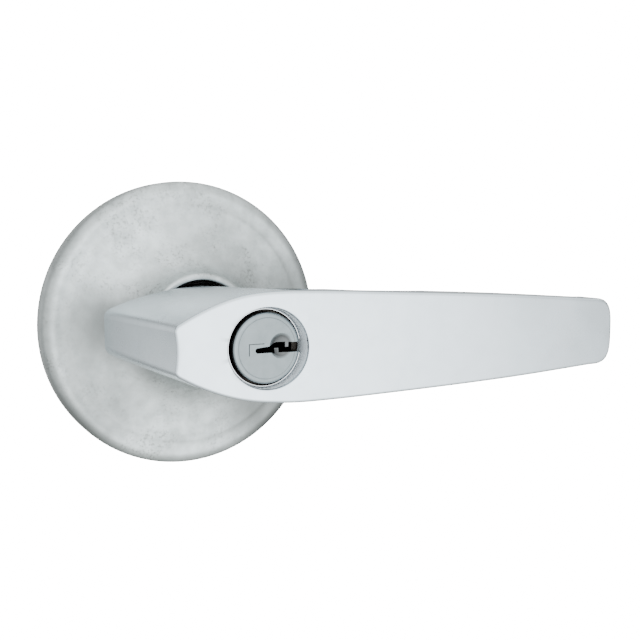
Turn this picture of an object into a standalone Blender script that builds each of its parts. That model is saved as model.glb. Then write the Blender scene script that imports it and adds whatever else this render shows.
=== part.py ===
"""Outside half of a keyed lever lockset: rose, lever, key cylinder and the works behind the rose.

World axes: +X runs along the lever to its tip, +Z is up, and -Y points out of the door. The door's
face is the plane Y = 0, and the lever turns about the world Y axis.

Every piece is drawn in millimetres with x along the lever, y up and z out of the door, and is then
turned so that z points along -Y. So a "height" in this file is a distance out of the door's face.
"""

import math

import bmesh
import bpy
from mathutils import Matrix, Vector

MM = 0.001
MERGE = 0.001 * MM     # points closer than this become one
GAP = 0.3              # between two pieces that touch or are fastened together
RUNNING_GAP = 0.1      # between two round faces that turn or slide on each other
ROUND_STEPS = 48
OUT_OF_DOOR = (math.radians(90), 0, 0)
TOWARD_LEFT = (0, math.radians(-90), 0)
TOWARD_GROUND = (math.radians(180), 0, 0)

# Rose, as radius and height pairs
ROSE_RADIUS = 33.35
ROSE_WALL = 1.1
ROSE_HOLE = 11.0
ROSE_LIP_HEIGHT = 16.0
ROSE_LIP_RADIUS = 12.5
ROSE_NECK = (12.6, 15.0)
ROSE_FLANK_PULLS = ((13.5, 10.9), (15.4, 8.5))
ROSE_INNER_FLANK_PULLS = ((14.6, 7.4), (12.6, 9.4))
ROSE_INNER_NECK = (11.9, 13.6)
ROSE_DISH_INNER = (20.5, 7.2)
ROSE_DISH_MIDDLE = (24.5, 6.6)
ROSE_DISH_OUTER = (27.6, 6.35)
ROSE_GROOVE = ((28.6, 6.17), (29.4, 6.14))
ROSE_RIM_CREST = (30.5, 6.18)
ROSE_RIM_TURN = 3.2

# Mounting plate, with the bush and the washer in front of it
PLATE_RADIUS = 31.8
PLATE_THICKNESS = 1.6
PLATE_LIP_HEIGHT = 2.8
PLATE_LIP_WALL = 1.2
PLATE_HOLE = 10.2
BUSH_FLANGE_RADIUS = 12.4
BUSH_FLANGE_THICKNESS = 1.2
BUSH_BACK = -1.6
WASHER_RADIUS = 12.0
WASHER_BACK = 3.4
WASHER_FRONT = 4.1

# Posts and rivets that pass through the plate and the cage's flange
POST_SPACING = 41.3
POST_RADIUS = 3.25
POST_BORE = 1.75
POST_LENGTH = 22.0
POST_NECK = 2.2
POST_HEAD = 3.6
POST_HEAD_HEIGHT = 1.0
POST_BORE_END = -4.0
RIVET_CIRCLE = 20.5
RIVET_ANGLES = (45, 135, 225, 315)
RIVET_SHANK = 1.2
RIVET_HEAD = 2.2
RIVET_HEAD_HEIGHT = 0.8

# Spring cage, behind the plate
CAGE_FLANGE_RADIUS = 25.5
CAGE_WALL = 1.2
CAGE_RADIUS = 16.8
CAGE_DEPTH = 10.4
CAGE_HOLE = 8.6
STOP_INNER = 14.7
STOP_ANGLE = 69
STOP_HALF_WIDTH = 6

# Return spring
SPRING_WIRE = 0.8
SPRING_RADIUS = 12.6
SPRING_PITCH = 1.8
SPRING_TURNS = 2.25
SPRING_FRONT = -1.3
SPRING_BEND = 1.2
SPRING_LEG_END = 16.3

# Drive tube, the disc on it and the rings round it
TUBE_RADIUS = 8.0
TUBE_BORE = 6.5
TUBE_FRONT = 26.9
TUBE_STEP = -6.3
TUBE_NECK = 7.1
TUBE_BACK = -8.7
DRIVE_LUG_HALF_WIDTH = 3.2
DRIVE_LUG_FRONT = 28.2
DRIVE_LUG_BACK = 6.6
DRIVE_LUG_REACH = 9.6
DISC_RADIUS = 14.4
DISC_FRONT = -6.6
DISC_BACK = -8.0
DISC_LUG_RADIUS = 15.3
DISC_LUG_HALF_ANGLE = 12
RING_GROOVE = 7.1
RING_GROOVE_BACK = 4.1
RING_GROOVE_FRONT = 5.5
SNAP_RING_RADIUS = 9.4
SNAP_RING_GAP = 4.0

# Lever
SHANK_RADIUS = 9.7
SHANK_BORE = 8.35
SHANK_END = 5.8
BOSS_BACK = 18.5
LEVER_TIP = 79.8
TIP_START = 74.0
TIP_POWER = 3.4
FACE_HEIGHT = 53.2
FACE_SLOPE = 0.145
FACE_BEND_RADIUS = 650.0
EDGE_ROUNDING = 0.6
# half heights of the boss's back end and of the lever's face, as x and half height pairs
BACK_OUTLINE = ((-22.7, 4.4), (-17.0, 6.8), (-10.5, 8.7), (-5.6, 9.55), (-0.8, 9.75), (4.4, 9.5),
                (13.0, 8.4))
FACE_OUTLINE = ((-17.5, 4.5), (-13.1, 6.9), (-8.4, 8.85), (-3.5, 10.1), (2.2, 10.65), (8.6, 10.7),
                (22.0, 10.2), (51.7, 8.8), (74.0, 7.33))
BOSS_LIFT = 0.8         # how far the boss's left end is raised at its back
BOSS_LIFT_AT_FACE = 0.2 # the share of that at the face
BOSS_LIFT_START = -5.0
BOSS_LIFT_LENGTH = 17.7
FACE_RISE = 0.17        # how far the middle of the boss's face is raised
FACE_RISE_PLACE = -5.5
FACE_RISE_REACH = 14.0
# the back of the lever from the boss's corner out to the blade, as x and height pairs
NECK_CURVE = ((13.0, 18.5), (13.6, 34.0), (18.0, 46.0), (36.0, 48.6))
NECK_FACE_END = 36.0
BLADE_TIP_BACK = (78.4, 53.6)

# Key cylinder
SHELL_BACK = 28.6
SHELL_FRONT = 49.1
SHELL_RADIUS = 8.0
NOSE_RADIUS = 7.2
NOSE_FRONT = 49.6
BIBLE_END = -14.9
BIBLE_HALF_WIDTH = 3.25
BIBLE_FRONT = 48.6
FACE_BORE = 7.75
PLUG_RADIUS = 6.2
PLUG_FLANGE = 6.85
PLUG_FACE = 52.4
PLUG_RIM_ROUNDING = 0.5
PLUG_TAIL = 5.5
PLUG_END = 24.5
CLIP_BACK = 27.4
CLIP_THICKNESS = 0.8
CLIP_GROOVE = 4.9
CLIP_RADIUS = 7.2
TRIM_RING_INNER = 7.15
TRIM_RING_OUTER = 7.6
TRIM_RING_DEPTH = 1.3
TRIM_RING_GAP = 2.7

# Pins, counted from the face of the plug
PIN_HEIGHTS = (46.1, 42.3, 38.5, 34.7, 30.9)
PIN_RADIUS = 1.3
CHAMBER_RADIUS = 1.5
BOTTOM_PIN_TOP = -6.0
BOTTOM_PIN_LENGTHS = (3.9, 5.1, 4.5, 5.7, 4.8)
CHAMBER_FLOOR = 1.0
DRIVER_PIN_FOOT = -6.6
DRIVER_PIN_LENGTH = 3.6
PIN_SPRING_FOOT = -10.35
PIN_SPRING_TOP = -14.05
PIN_SPRING_WIRE = 0.15
PIN_SPRING_RADIUS = 1.0
PIN_SPRING_TURNS = 5
BIBLE_CAP_THICKNESS = 0.45

# Keyway, as x and y pairs round its outline, seen from the front
KEYWAY = ((7.5, -1.0), (2.5, -1.0), (2.5, -0.1), (1.65, -0.1), (1.65, -1.1), (1.15, -1.1), (1.1, -0.88),
          (-2.0, -0.88), (-2.35, -0.65), (-2.45, -0.35), (-2.35, -0.05), (-2.05, 0.12), (0.3, 0.32),
          (1.2, 0.75), (2.1, 1.05), (3.9, 1.0), (3.9, 0.02), (4.55, 0.02), (4.55, 0.95), (7.5, 0.95))
KEYWAY_BACK = 29.0
COUNTERSINK_CENTRE = (2.95, 0.33)
COUNTERSINK_RADIUS = 2.4
COUNTERSINK_DEPTH = 0.15

# Spindle and tailpiece
SPINDLE_SIDE = 8.0
SPINDLE_HOLE = 5.6
SPINDLE_BACK = -47.0
SPINDLE_COLLAR = 6.2
COLLAR_FRONT = -2.0
COLLAR_BACK = -8.9
TAILPIECE_WIDTH = 4.5
TAILPIECE_THICKNESS = 1.5
TAILPIECE_HEAD = 9.4
TAILPIECE_BACK = -52.0
TAIL_SLOT_FRONT = 27.1

# Lever catch
CATCH_HEIGHT = 21.5
CATCH_RADIUS = 1.45
CATCH_HOLE = 1.75
CATCH_HEAD_RADIUS = 2.3
CATCH_TIP = 9.2
CATCH_SHOULDER = 5.7
CATCH_HEAD_BACK = 4.9
LEAF_RADIUS = 6.0
LEAF_THICKNESS = 0.4
LEAF_WIDTH = 3.0
LEAF_CROSSING = -4.4


# ---------------------------------------------------------------- collections and materials

def make_collection(name):
    collection = bpy.data.collections.new(name)
    bpy.context.scene.collection.children.link(collection)
    return collection


def make_material(name, color, metallic, roughness):
    material = bpy.data.materials.new(name)
    material.use_nodes = True
    shader = material.node_tree.nodes["Principled BSDF"]
    shader.inputs["Base Color"].default_value = (*color, 1)
    shader.inputs["Metallic"].default_value = metallic
    shader.inputs["Roughness"].default_value = roughness
    return material


def satin_chrome():
    return make_material("satin_chrome", (0.78, 0.80, 0.81), 1.0, 0.32)


def bright_chrome():
    return make_material("bright_chrome", (0.88, 0.89, 0.90), 1.0, 0.08)


def zinc_plated_steel():
    return make_material("zinc_plated_steel", (0.62, 0.64, 0.66), 1.0, 0.40)


def spring_steel():
    return make_material("spring_steel", (0.35, 0.36, 0.38), 1.0, 0.30)


def cylinder_brass():
    return make_material("cylinder_brass", (0.78, 0.62, 0.34), 1.0, 0.30)


def nickel_plated_brass():
    return make_material("nickel_plated_brass", (0.70, 0.72, 0.73), 1.0, 0.35)


def black_nylon():
    return make_material("black_nylon", (0.05, 0.05, 0.05), 0.0, 0.55)


# ---------------------------------------------------------------- outlines

def bezier(start, start_pull, end_pull, end, count):
    """Points along a curve that leaves start towards start_pull and reaches end from end_pull."""
    points = []
    for step in range(count + 1):
        t = step / count
        weights = ((1 - t) ** 3, 3 * t * (1 - t) ** 2, 3 * t * t * (1 - t), t ** 3)
        corners = (start, start_pull, end_pull, end)
        points.append(tuple(sum(w * c[axis] for w, c in zip(weights, corners)) for axis in (0, 1)))
    return points


def arc(centre, radius_x, radius_y, start_angle, end_angle, count):
    """Points on an elliptical arc, with angles in degrees."""
    points = []
    for step in range(count + 1):
        angle = math.radians(start_angle + (end_angle - start_angle) * step / count)
        points.append((centre[0] + radius_x * math.cos(angle), centre[1] + radius_y * math.sin(angle)))
    return points


def smooth_value(points, x):
    """Height at x on a smooth curve through the given points."""
    last = len(points) - 1
    piece = max(i for i in range(last) if i == 0 or points[i][0] <= x)
    before = points[max(piece - 1, 0)]
    start = points[piece]
    end = points[piece + 1]
    after = points[min(piece + 2, last)]
    span = end[0] - start[0]
    slope_in = (end[1] - before[1]) / (end[0] - before[0]) * span
    slope_out = (after[1] - start[1]) / (after[0] - start[0]) * span
    t = (x - start[0]) / span
    rise = (2 * t ** 3 - 3 * t ** 2 + 1) * start[1] + (3 * t ** 2 - 2 * t ** 3) * end[1]
    return rise + (t ** 3 - 2 * t ** 2 + t) * slope_in + (t ** 3 - t ** 2) * slope_out


def tube_outline(inner, outer, back, front):
    return [(inner, front), (outer, front), (outer, back), (inner, back)]


# ---------------------------------------------------------------- making and cutting objects

def add_object(name, data, place, turn=OUT_OF_DOOR):
    piece = bpy.data.objects.new(name, data)
    collection, material = place
    collection.objects.link(piece)
    if material:
        data.materials.append(material)
    piece.rotation_euler = turn
    return piece


def turned(name, outline, place, steps=ROUND_STEPS, turn=OUT_OF_DOOR):
    """A round piece: an outline of (radius, height), down its outer side, swung about its own z axis."""
    half_step = math.pi / steps
    points = []
    for radius, height in outline:
        points.append(Vector((radius * math.cos(half_step), radius * math.sin(half_step), height)) * MM)
    edges = [(corner, corner + 1) for corner in range(len(outline) - 1)]
    if outline[0][0] > 0:
        edges.append((len(outline) - 1, 0))
    profile = bpy.data.meshes.new(name)
    profile.from_pydata(points, edges, [])
    piece = add_object(name, profile, place, turn)
    swing = piece.modifiers.new("swing", "SCREW")
    swing.steps = steps
    swing.render_steps = steps
    swing.use_merge_vertices = True
    swing.merge_threshold = MERGE
    swing.use_smooth_shade = True
    return piece


def cylinder(name, radius, back, front, place, steps=24, turn=OUT_OF_DOOR):
    """A plain cylinder along its own z axis."""
    shape = bmesh.new()
    half_step = Matrix.Rotation(math.pi / steps, 4, "Z")
    middle = Matrix.Translation((0, 0, (front + back) / 2 * MM))
    bmesh.ops.create_cone(shape, cap_ends=True, segments=steps, radius1=radius * MM, radius2=radius * MM,
                          depth=(front - back) * MM, matrix=middle @ half_step)
    mesh = bpy.data.meshes.new(name)
    shape.to_mesh(mesh)
    shape.free()
    return add_object(name, mesh, place, turn)


def block(name, low, high, place):
    """A box between two opposite corners, each as x, y and height."""
    shape = bmesh.new()
    middle = Matrix.Translation((Vector(low) + Vector(high)) / 2 * MM)
    size = Matrix.Diagonal((*(Vector(high) - Vector(low)) * MM, 1))
    bmesh.ops.create_cube(shape, size=1, matrix=middle @ size)
    mesh = bpy.data.meshes.new(name)
    shape.to_mesh(mesh)
    shape.free()
    return add_object(name, mesh, place)


def slab(name, outline, back, front, place):
    """A flat piece with the outline of (x, y) pairs, from its back height to its front height."""
    curve = bpy.data.curves.new(name, "CURVE")
    curve.dimensions = "2D"
    curve.fill_mode = "BOTH"
    curve.extrude = (front - back) / 2 * MM
    line = curve.splines.new("POLY")
    line.points.add(len(outline) - 1)
    line.use_cyclic_u = True
    for point, (x, y) in zip(line.points, outline):
        point.co = (x * MM, y * MM, 0, 1)
    return put(add_object(name, curve, place), 0, 0, (front + back) / 2)


def solid_slab(name, outline, back, front, place):
    """A flat piece as a mesh, so that it can cut, be cut and be joined."""
    flat = slab(name + "_outline", outline, back, front, (place[0], None))
    graph = bpy.context.evaluated_depsgraph_get()
    mesh = bpy.data.meshes.new_from_object(flat.evaluated_get(graph))
    shape = bmesh.new()
    shape.from_mesh(mesh)
    bmesh.ops.remove_doubles(shape, verts=shape.verts, dist=MERGE)
    bmesh.ops.recalc_face_normals(shape, faces=shape.faces)
    shape.to_mesh(mesh)
    shape.free()
    piece = add_object(name, mesh, place)
    piece.matrix_world = flat.matrix_world.copy()
    bpy.data.objects.remove(flat)
    return piece


def put(piece, x, y, height):
    """Stand the piece's own origin at this place."""
    piece.location = (x * MM, -height * MM, y * MM)
    return piece


def boolean(piece, tool, operation):
    modifier = piece.modifiers.new(operation.lower(), "BOOLEAN")
    modifier.operation = operation
    modifier.solver = "EXACT"
    modifier.object = tool
    tool.hide_render = True
    tool.display_type = "WIRE"


def cut(piece, *tools):
    for tool in tools:
        boolean(piece, tool, "DIFFERENCE")


def join(piece, *tools):
    for tool in tools:
        boolean(piece, tool, "UNION")


def round_edges(piece, width, segments=2):
    modifier = piece.modifiers.new("rounding", "BEVEL")
    modifier.width = width * MM
    modifier.segments = segments
    modifier.limit_method = "ANGLE"
    modifier.angle_limit = math.radians(35)
    modifier.harden_normals = False


def wire(name, points, radius, place, resolution=2):
    """A round wire that runs through the given points, in the door's x, y and height."""
    curve = bpy.data.curves.new(name, "CURVE")
    curve.dimensions = "3D"
    curve.bevel_depth = radius * MM
    curve.bevel_resolution = resolution
    curve.use_fill_caps = True
    line = curve.splines.new("POLY")
    line.points.add(len(points) - 1)
    for point, (x, y, height) in zip(line.points, points):
        point.co = (x * MM, y * MM, height * MM, 1)
    return add_object(name, curve, place)


# ---------------------------------------------------------------- pieces fixed to the door

def rose_outer_side():
    lip_top = ROSE_LIP_HEIGHT
    lip = [(ROSE_HOLE + 0.3, lip_top), (ROSE_LIP_RADIUS - 0.5, lip_top), (ROSE_LIP_RADIUS, lip_top - 0.4)]
    flank = bezier(ROSE_NECK, *ROSE_FLANK_PULLS, ROSE_DISH_INNER, 8)
    dish = [ROSE_DISH_MIDDLE, ROSE_DISH_OUTER, *ROSE_GROOVE]
    turn_radius = ROSE_RADIUS - ROSE_RIM_CREST[0]
    rim = arc((ROSE_RIM_CREST[0], ROSE_RIM_TURN), turn_radius, ROSE_RIM_CREST[1] - ROSE_RIM_TURN, 90, 0, 6)
    return lip + flank + dish + rim + [(ROSE_RADIUS, 0.3), (ROSE_RADIUS - 0.3, 0)]


def rose(place):
    wall = ROSE_WALL
    crest_radius, crest_height = ROSE_RIM_CREST
    inner_wall = ROSE_RADIUS - wall
    rim = arc((crest_radius, ROSE_RIM_TURN), inner_wall - crest_radius,
              crest_height - wall - ROSE_RIM_TURN, 0, 90, 4)
    dish_inner = (ROSE_DISH_INNER[0], ROSE_DISH_INNER[1] - wall)
    flank = bezier(dish_inner, *ROSE_INNER_FLANK_PULLS, ROSE_INNER_NECK, 6)
    inner_side = [(inner_wall, 0)] + rim + [(ROSE_DISH_OUTER[0], ROSE_DISH_OUTER[1] - wall - 0.15)]
    collar = [(ROSE_LIP_RADIUS - 0.7, ROSE_LIP_HEIGHT - 1.6), (ROSE_HOLE, ROSE_LIP_HEIGHT - 1.6)]
    hole = [(ROSE_HOLE, ROSE_LIP_HEIGHT - 0.3)]
    turned("rose", rose_outer_side() + inner_side + flank + collar + hole, place, steps=64)


def mounting_plate(place, tools):
    inside_lip = PLATE_RADIUS - PLATE_LIP_WALL
    outline = [(inside_lip, PLATE_LIP_HEIGHT), (PLATE_RADIUS - 0.2, PLATE_LIP_HEIGHT),
               (PLATE_RADIUS, PLATE_LIP_HEIGHT - 0.2), (PLATE_RADIUS, 0.2), (PLATE_RADIUS - 0.2, 0),
               (PLATE_HOLE, 0), (PLATE_HOLE, PLATE_THICKNESS), (inside_lip, PLATE_THICKNESS)]
    plate = turned("mounting_plate", outline, place)
    for side in (-1, 1):
        cut(plate, drill("plate_post_hole", POST_NECK + GAP, side * POST_SPACING / 2, 0, tools))
    for x, y in rivet_places():
        cut(plate, drill("plate_rivet_hole", RIVET_SHANK + GAP, x, y, tools))


def rivet_places():
    places = []
    for angle in RIVET_ANGLES:
        turn = math.radians(angle)
        places.append((RIVET_CIRCLE * math.cos(turn), RIVET_CIRCLE * math.sin(turn)))
    return places


def drill(name, radius, x, y, tools, back=-3.0, front=4.0):
    """A cutter for a round hole, by default through the plate and the cage's flange."""
    return put(cylinder(name, radius, back, front, tools), x, y, 0)


def threaded_post(name, side, place):
    head_foot = PLATE_THICKNESS + GAP
    head_top = head_foot + POST_HEAD_HEIGHT
    outline = [(0, head_top), (POST_HEAD - 0.4, head_top), (POST_HEAD, head_top - 0.4),
               (POST_HEAD, head_foot), (POST_NECK, head_foot), (POST_NECK, -GAP), (POST_RADIUS, -GAP),
               (POST_RADIUS, 0.4 - POST_LENGTH), (POST_RADIUS - 0.4, -POST_LENGTH),
               (POST_BORE + 0.3, -POST_LENGTH), (POST_BORE, 0.3 - POST_LENGTH), (POST_BORE, POST_BORE_END),
               (0, POST_BORE_END + 1.0)]
    put(turned(name, outline, place, steps=24), side * POST_SPACING / 2, 0, 0)


def cage_rivet(name, x, y, place):
    front = PLATE_THICKNESS + GAP
    back = -GAP - CAGE_WALL - GAP
    dome = RIVET_HEAD_HEIGHT
    front_dome = arc((0, front), RIVET_HEAD, dome, 90, 0, 3)
    back_dome = arc((0, back), RIVET_HEAD, dome, 0, -90, 3)
    front_dome[0] = (0, front + dome)
    back_dome[-1] = (0, back - dome)
    outline = front_dome + [(RIVET_SHANK, front), (RIVET_SHANK, back)] + back_dome
    put(turned(name, outline, place, steps=16), x, y, 0)


def spring_cage(place, tools):
    wall = CAGE_WALL
    inside = CAGE_RADIUS - wall
    outline = [(inside, -GAP), (CAGE_FLANGE_RADIUS, -GAP), (CAGE_FLANGE_RADIUS, -GAP - wall),
               (CAGE_RADIUS, -GAP - wall), (CAGE_RADIUS, 0.8 - CAGE_DEPTH), (CAGE_RADIUS - 0.8, -CAGE_DEPTH),
               (CAGE_HOLE, -CAGE_DEPTH), (CAGE_HOLE, wall - CAGE_DEPTH), (inside, wall - CAGE_DEPTH)]
    cage = turned("spring_cage", outline, place)
    for side in (-1, 1):
        join(cage, stop_block(-90 + side * STOP_ANGLE, tools))
        cut(cage, drill("flange_post_hole", POST_RADIUS + GAP, side * POST_SPACING / 2, 0, tools))
    for x, y in rivet_places():
        cut(cage, drill("flange_rivet_hole", RIVET_SHANK + GAP, x, y, tools))
    half_notch = SPRING_WIRE + GAP
    low = (SPRING_BEND - half_notch, STOP_INNER, SPRING_FRONT - half_notch)
    high = (SPRING_BEND + half_notch, CAGE_RADIUS + 0.4, 1.0)
    cut(cage, block("spring_leg_notch", low, high, tools))


def stop_block(angle, tools):
    """A stop that the drive disc's lug meets at the end of the lever's turn."""
    start = angle - STOP_HALF_WIDTH
    end = angle + STOP_HALF_WIDTH
    outer = CAGE_RADIUS - CAGE_WALL / 2
    outline = arc((0, 0), outer, outer, start, end, 4) + arc((0, 0), STOP_INNER, STOP_INNER, end, start, 4)
    return solid_slab("drive_stop", outline, CAGE_WALL / 2 - CAGE_DEPTH, DISC_FRONT + 0.6, tools)


def bearing_bush(place):
    flange_back = PLATE_THICKNESS + GAP
    flange_front = flange_back + BUSH_FLANGE_THICKNESS
    flange = BUSH_FLANGE_RADIUS
    sleeve = PLATE_HOLE - GAP
    bore = TUBE_RADIUS + RUNNING_GAP
    outline = [(bore, flange_front), (flange - 0.2, flange_front), (flange, flange_front - 0.2),
               (flange, flange_back), (sleeve, flange_back), (sleeve, BUSH_BACK), (bore, BUSH_BACK)]
    turned("bearing_bush", outline, place)


def thrust_washer(place):
    turned("thrust_washer", tube_outline(TUBE_RADIUS + GAP, WASHER_RADIUS, WASHER_BACK, WASHER_FRONT), place)


def return_spring(place):
    """A torsion spring hooked into the cage at the front and into the drive disc at the back."""
    start_angle = math.radians(90)
    turn_points = 20
    bend = SPRING_BEND
    leg = Vector((0, 1, 0))
    aside = Vector((1, 0, 0))
    start = leg * SPRING_RADIUS + Vector((0, 0, SPRING_FRONT))
    bend_centre = start + leg * bend
    points = [start + leg * (SPRING_LEG_END - SPRING_RADIUS) + aside * bend]
    for step in range(4, 0, -1):
        angle = math.radians(90 * step / 4)
        points.append(bend_centre - leg * bend * math.cos(angle) + aside * bend * math.sin(angle))
    count = round(SPRING_TURNS * turn_points)
    for step in range(count + 1):
        angle = start_angle + 2 * math.pi * step / turn_points
        height = SPRING_FRONT - SPRING_PITCH * step / turn_points
        points.append(Vector((SPRING_RADIUS * math.cos(angle), SPRING_RADIUS * math.sin(angle), height)))
    end = points[-1]
    forward = Vector((-end.y, end.x, 0)).normalized()
    down = Vector((0, 0, -1))
    for step in range(1, 5):
        angle = math.radians(90 * step / 4)
        points.append(end + down * bend * (1 - math.cos(angle)) + forward * bend * math.sin(angle))
    last = points[-1].copy()
    last.z = DISC_BACK + 0.2
    points.append(last)
    wire("return_spring", points, SPRING_WIRE, place, resolution=1)


# ---------------------------------------------------------------- pieces that turn with the lever

def drive_tube(place, tools):
    groove_front = RING_GROOVE_FRONT
    groove_back = RING_GROOVE_BACK
    outline = [(TUBE_BORE, TUBE_FRONT), (TUBE_RADIUS - 0.3, TUBE_FRONT), (TUBE_RADIUS, TUBE_FRONT - 0.3),
               (TUBE_RADIUS, groove_front), (RING_GROOVE, groove_front), (RING_GROOVE, groove_back),
               (TUBE_RADIUS, groove_back), (TUBE_RADIUS, TUBE_STEP), (TUBE_NECK, TUBE_STEP),
               (TUBE_NECK, TUBE_BACK), (TUBE_BORE, TUBE_BACK)]
    tube = turned("drive_tube", outline, place)
    low = (-DRIVE_LUG_REACH, -DRIVE_LUG_HALF_WIDTH, DRIVE_LUG_BACK)
    high = (0.1 - TUBE_RADIUS, DRIVE_LUG_HALF_WIDTH, DRIVE_LUG_FRONT)
    lug = block("drive_lug", low, (high[0] + 0.5, high[1], TUBE_FRONT - 0.5), tools)
    lug_nose = block("drive_lug_nose", (low[0], low[1], TUBE_FRONT - 1.5), high, tools)
    join(tube, lug, lug_nose)
    cut(tube, downward_hole("tube_catch_hole", CATCH_HOLE, tools))


def downward_hole(name, radius, tools):
    """A cutter for the catch's hole, from inside the drive tube out through the boss's underside."""
    return put(cylinder(name, radius, 4.0, 12.0, tools, turn=TOWARD_GROUND), 0, 0, CATCH_HEIGHT)


def drive_disc(place, tools):
    """The disc that carries the spring's back leg and the lug between the cage's stops."""
    outline = tube_outline(TUBE_NECK + GAP, DISC_RADIUS, DISC_BACK, DISC_FRONT)
    disc = turned("drive_disc", outline, place)
    half = DISC_LUG_HALF_ANGLE
    lug_outline = arc((0, 0), DISC_LUG_RADIUS, DISC_LUG_RADIUS, -90 - half, -90 + half, 6)
    lug_outline += arc((0, 0), DISC_RADIUS - 0.8, DISC_RADIUS - 0.8, -90 + half, -90 - half, 6)
    join(disc, solid_slab("disc_lug", lug_outline, DISC_BACK, DISC_FRONT, tools))
    end_angle = math.radians(90 + 360 * SPRING_TURNS) + SPRING_BEND / SPRING_RADIUS
    x = SPRING_RADIUS * math.cos(end_angle)
    y = SPRING_RADIUS * math.sin(end_angle)
    cut(disc, drill("spring_hook_hole", SPRING_WIRE + GAP, x, y, tools, DISC_BACK - 1, DISC_FRONT + 1))


def snap_ring(place, tools):
    back = RING_GROOVE_BACK + GAP
    front = RING_GROOVE_FRONT - GAP
    ring = turned("snap_ring", tube_outline(RING_GROOVE + GAP, SNAP_RING_RADIUS, back, front), place)
    half = SNAP_RING_GAP / 2
    cut(ring, block("snap_ring_gap", (-half, 0, back - 1), (half, SNAP_RING_RADIUS + 1, front + 1), tools))


def spindle(place, tools):
    """The hollow square spindle that turns the latch, with the round collar that the tube holds."""
    half = SPINDLE_SIDE / 2
    hole = SPINDLE_HOLE / 2
    shaft = block("spindle", (-half, -half, SPINDLE_BACK), (half, half, COLLAR_FRONT - 3.0), place)
    round_edges(shaft, 0.6)
    collar_outline = [(0, COLLAR_FRONT), (SPINDLE_COLLAR - 0.3, COLLAR_FRONT),
                      (SPINDLE_COLLAR, COLLAR_FRONT - 0.3), (SPINDLE_COLLAR, COLLAR_BACK), (0, COLLAR_BACK)]
    collar = turned("spindle_collar", collar_outline, tools)
    join(shaft, collar)
    cut(shaft, block("spindle_hole", (-hole, -hole, SPINDLE_BACK - 1), (hole, hole, 1.0), tools))


def lever_columns():
    """For each place along the lever: its face and its back as (x, height, half height)."""
    boss_steps = 26
    neck_steps = 14
    blade_steps = 10
    tip_steps = 9
    columns = []
    boss_face_end = 15.0
    for step in range(boss_steps):
        t = step / boss_steps
        face_x = FACE_OUTLINE[0][0] + (boss_face_end - FACE_OUTLINE[0][0]) * t
        back_x = BACK_OUTLINE[0][0] + (BACK_OUTLINE[-1][0] - BACK_OUTLINE[0][0]) * t
        columns.append((face_x, smooth_value(FACE_OUTLINE, face_x), back_x, BOSS_BACK,
                        smooth_value(BACK_OUTLINE, back_x)))
    for step, (back_x, back_height) in enumerate(bezier(*NECK_CURVE, neck_steps)):
        t = step / neck_steps
        face_x = boss_face_end + (NECK_FACE_END - boss_face_end) * t
        blade_half = smooth_value(FACE_OUTLINE, face_x)
        back_half = BACK_OUTLINE[-1][1] + (blade_half - BACK_OUTLINE[-1][1]) * min(1, 1.6 * t)
        columns.append((face_x, blade_half, back_x, back_height, back_half))
    for step in range(1, blade_steps + 1):
        x = NECK_FACE_END + (TIP_START - NECK_FACE_END) * step / blade_steps
        half = smooth_value(FACE_OUTLINE, x)
        columns.append((x, half, x, blade_back(x), half))
    tip_length = LEVER_TIP - TIP_START
    for step in range(1, tip_steps + 1):
        angle = math.radians(87 * step / tip_steps)
        x = TIP_START + tip_length * math.sin(angle) ** (2 / TIP_POWER)
        half = FACE_OUTLINE[-1][1] * math.cos(angle) ** (2 / TIP_POWER)
        columns.append((x, half, x, blade_back(x), half))
    return columns


def blade_back(x):
    start_x, start_height = NECK_CURVE[-1]
    end_x, end_height = BLADE_TIP_BACK
    return start_height + (end_height - start_height) * (x - start_x) / (end_x - start_x)


def face_height(x):
    return FACE_HEIGHT + FACE_SLOPE * x - x * x / (2 * FACE_BEND_RADIUS)


def boss_lift(x, height):
    """How far the boss is raised above the spindle: its left end at the back, its middle at the face."""
    along = min(max((BOSS_LIFT_START - x) / BOSS_LIFT_LENGTH, 0), 1)
    forward = (height - BOSS_BACK) / (face_height(FACE_OUTLINE[0][0]) - BOSS_BACK)
    swell = max(0, 1 - ((x - FACE_RISE_PLACE) / FACE_RISE_REACH) ** 2) ** 2
    left_end = BOSS_LIFT * along ** 1.3 * (1 + (BOSS_LIFT_AT_FACE - 1) * forward)
    return left_end + FACE_RISE * swell * forward


def lever_body(place):
    """The boss and blade: a top and a bottom edge all along the face, and the same along the back."""
    points = []
    faces = []
    columns = lever_columns()
    for face_x, face_half, back_x, back_height, back_half in columns:
        front = face_height(face_x)
        face_lift = boss_lift(face_x, front)
        back_lift = boss_lift(back_x, back_height)
        points += [(face_x, face_lift + face_half, front), (face_x, face_lift - face_half, front),
                   (back_x, back_lift - back_half, back_height), (back_x, back_lift + back_half, back_height)]
    for column in range(len(columns) - 1):
        here = 4 * column
        for side in range(4):
            after = (side + 1) % 4
            faces.append([here + side, here + after, here + 4 + after, here + 4 + side])
    last = 4 * (len(columns) - 1)
    faces.append([3, 2, 1, 0])
    faces.append([last, last + 1, last + 2, last + 3])
    mesh = bpy.data.meshes.new("lever")
    mesh.from_pydata([Vector(point) * MM for point in points], [], faces)
    mesh.shade_smooth()
    mesh.set_sharp_from_angle(angle=math.radians(30))
    body = add_object("lever", mesh, place)
    round_edges(body, EDGE_ROUNDING, 3)
    return body


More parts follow.
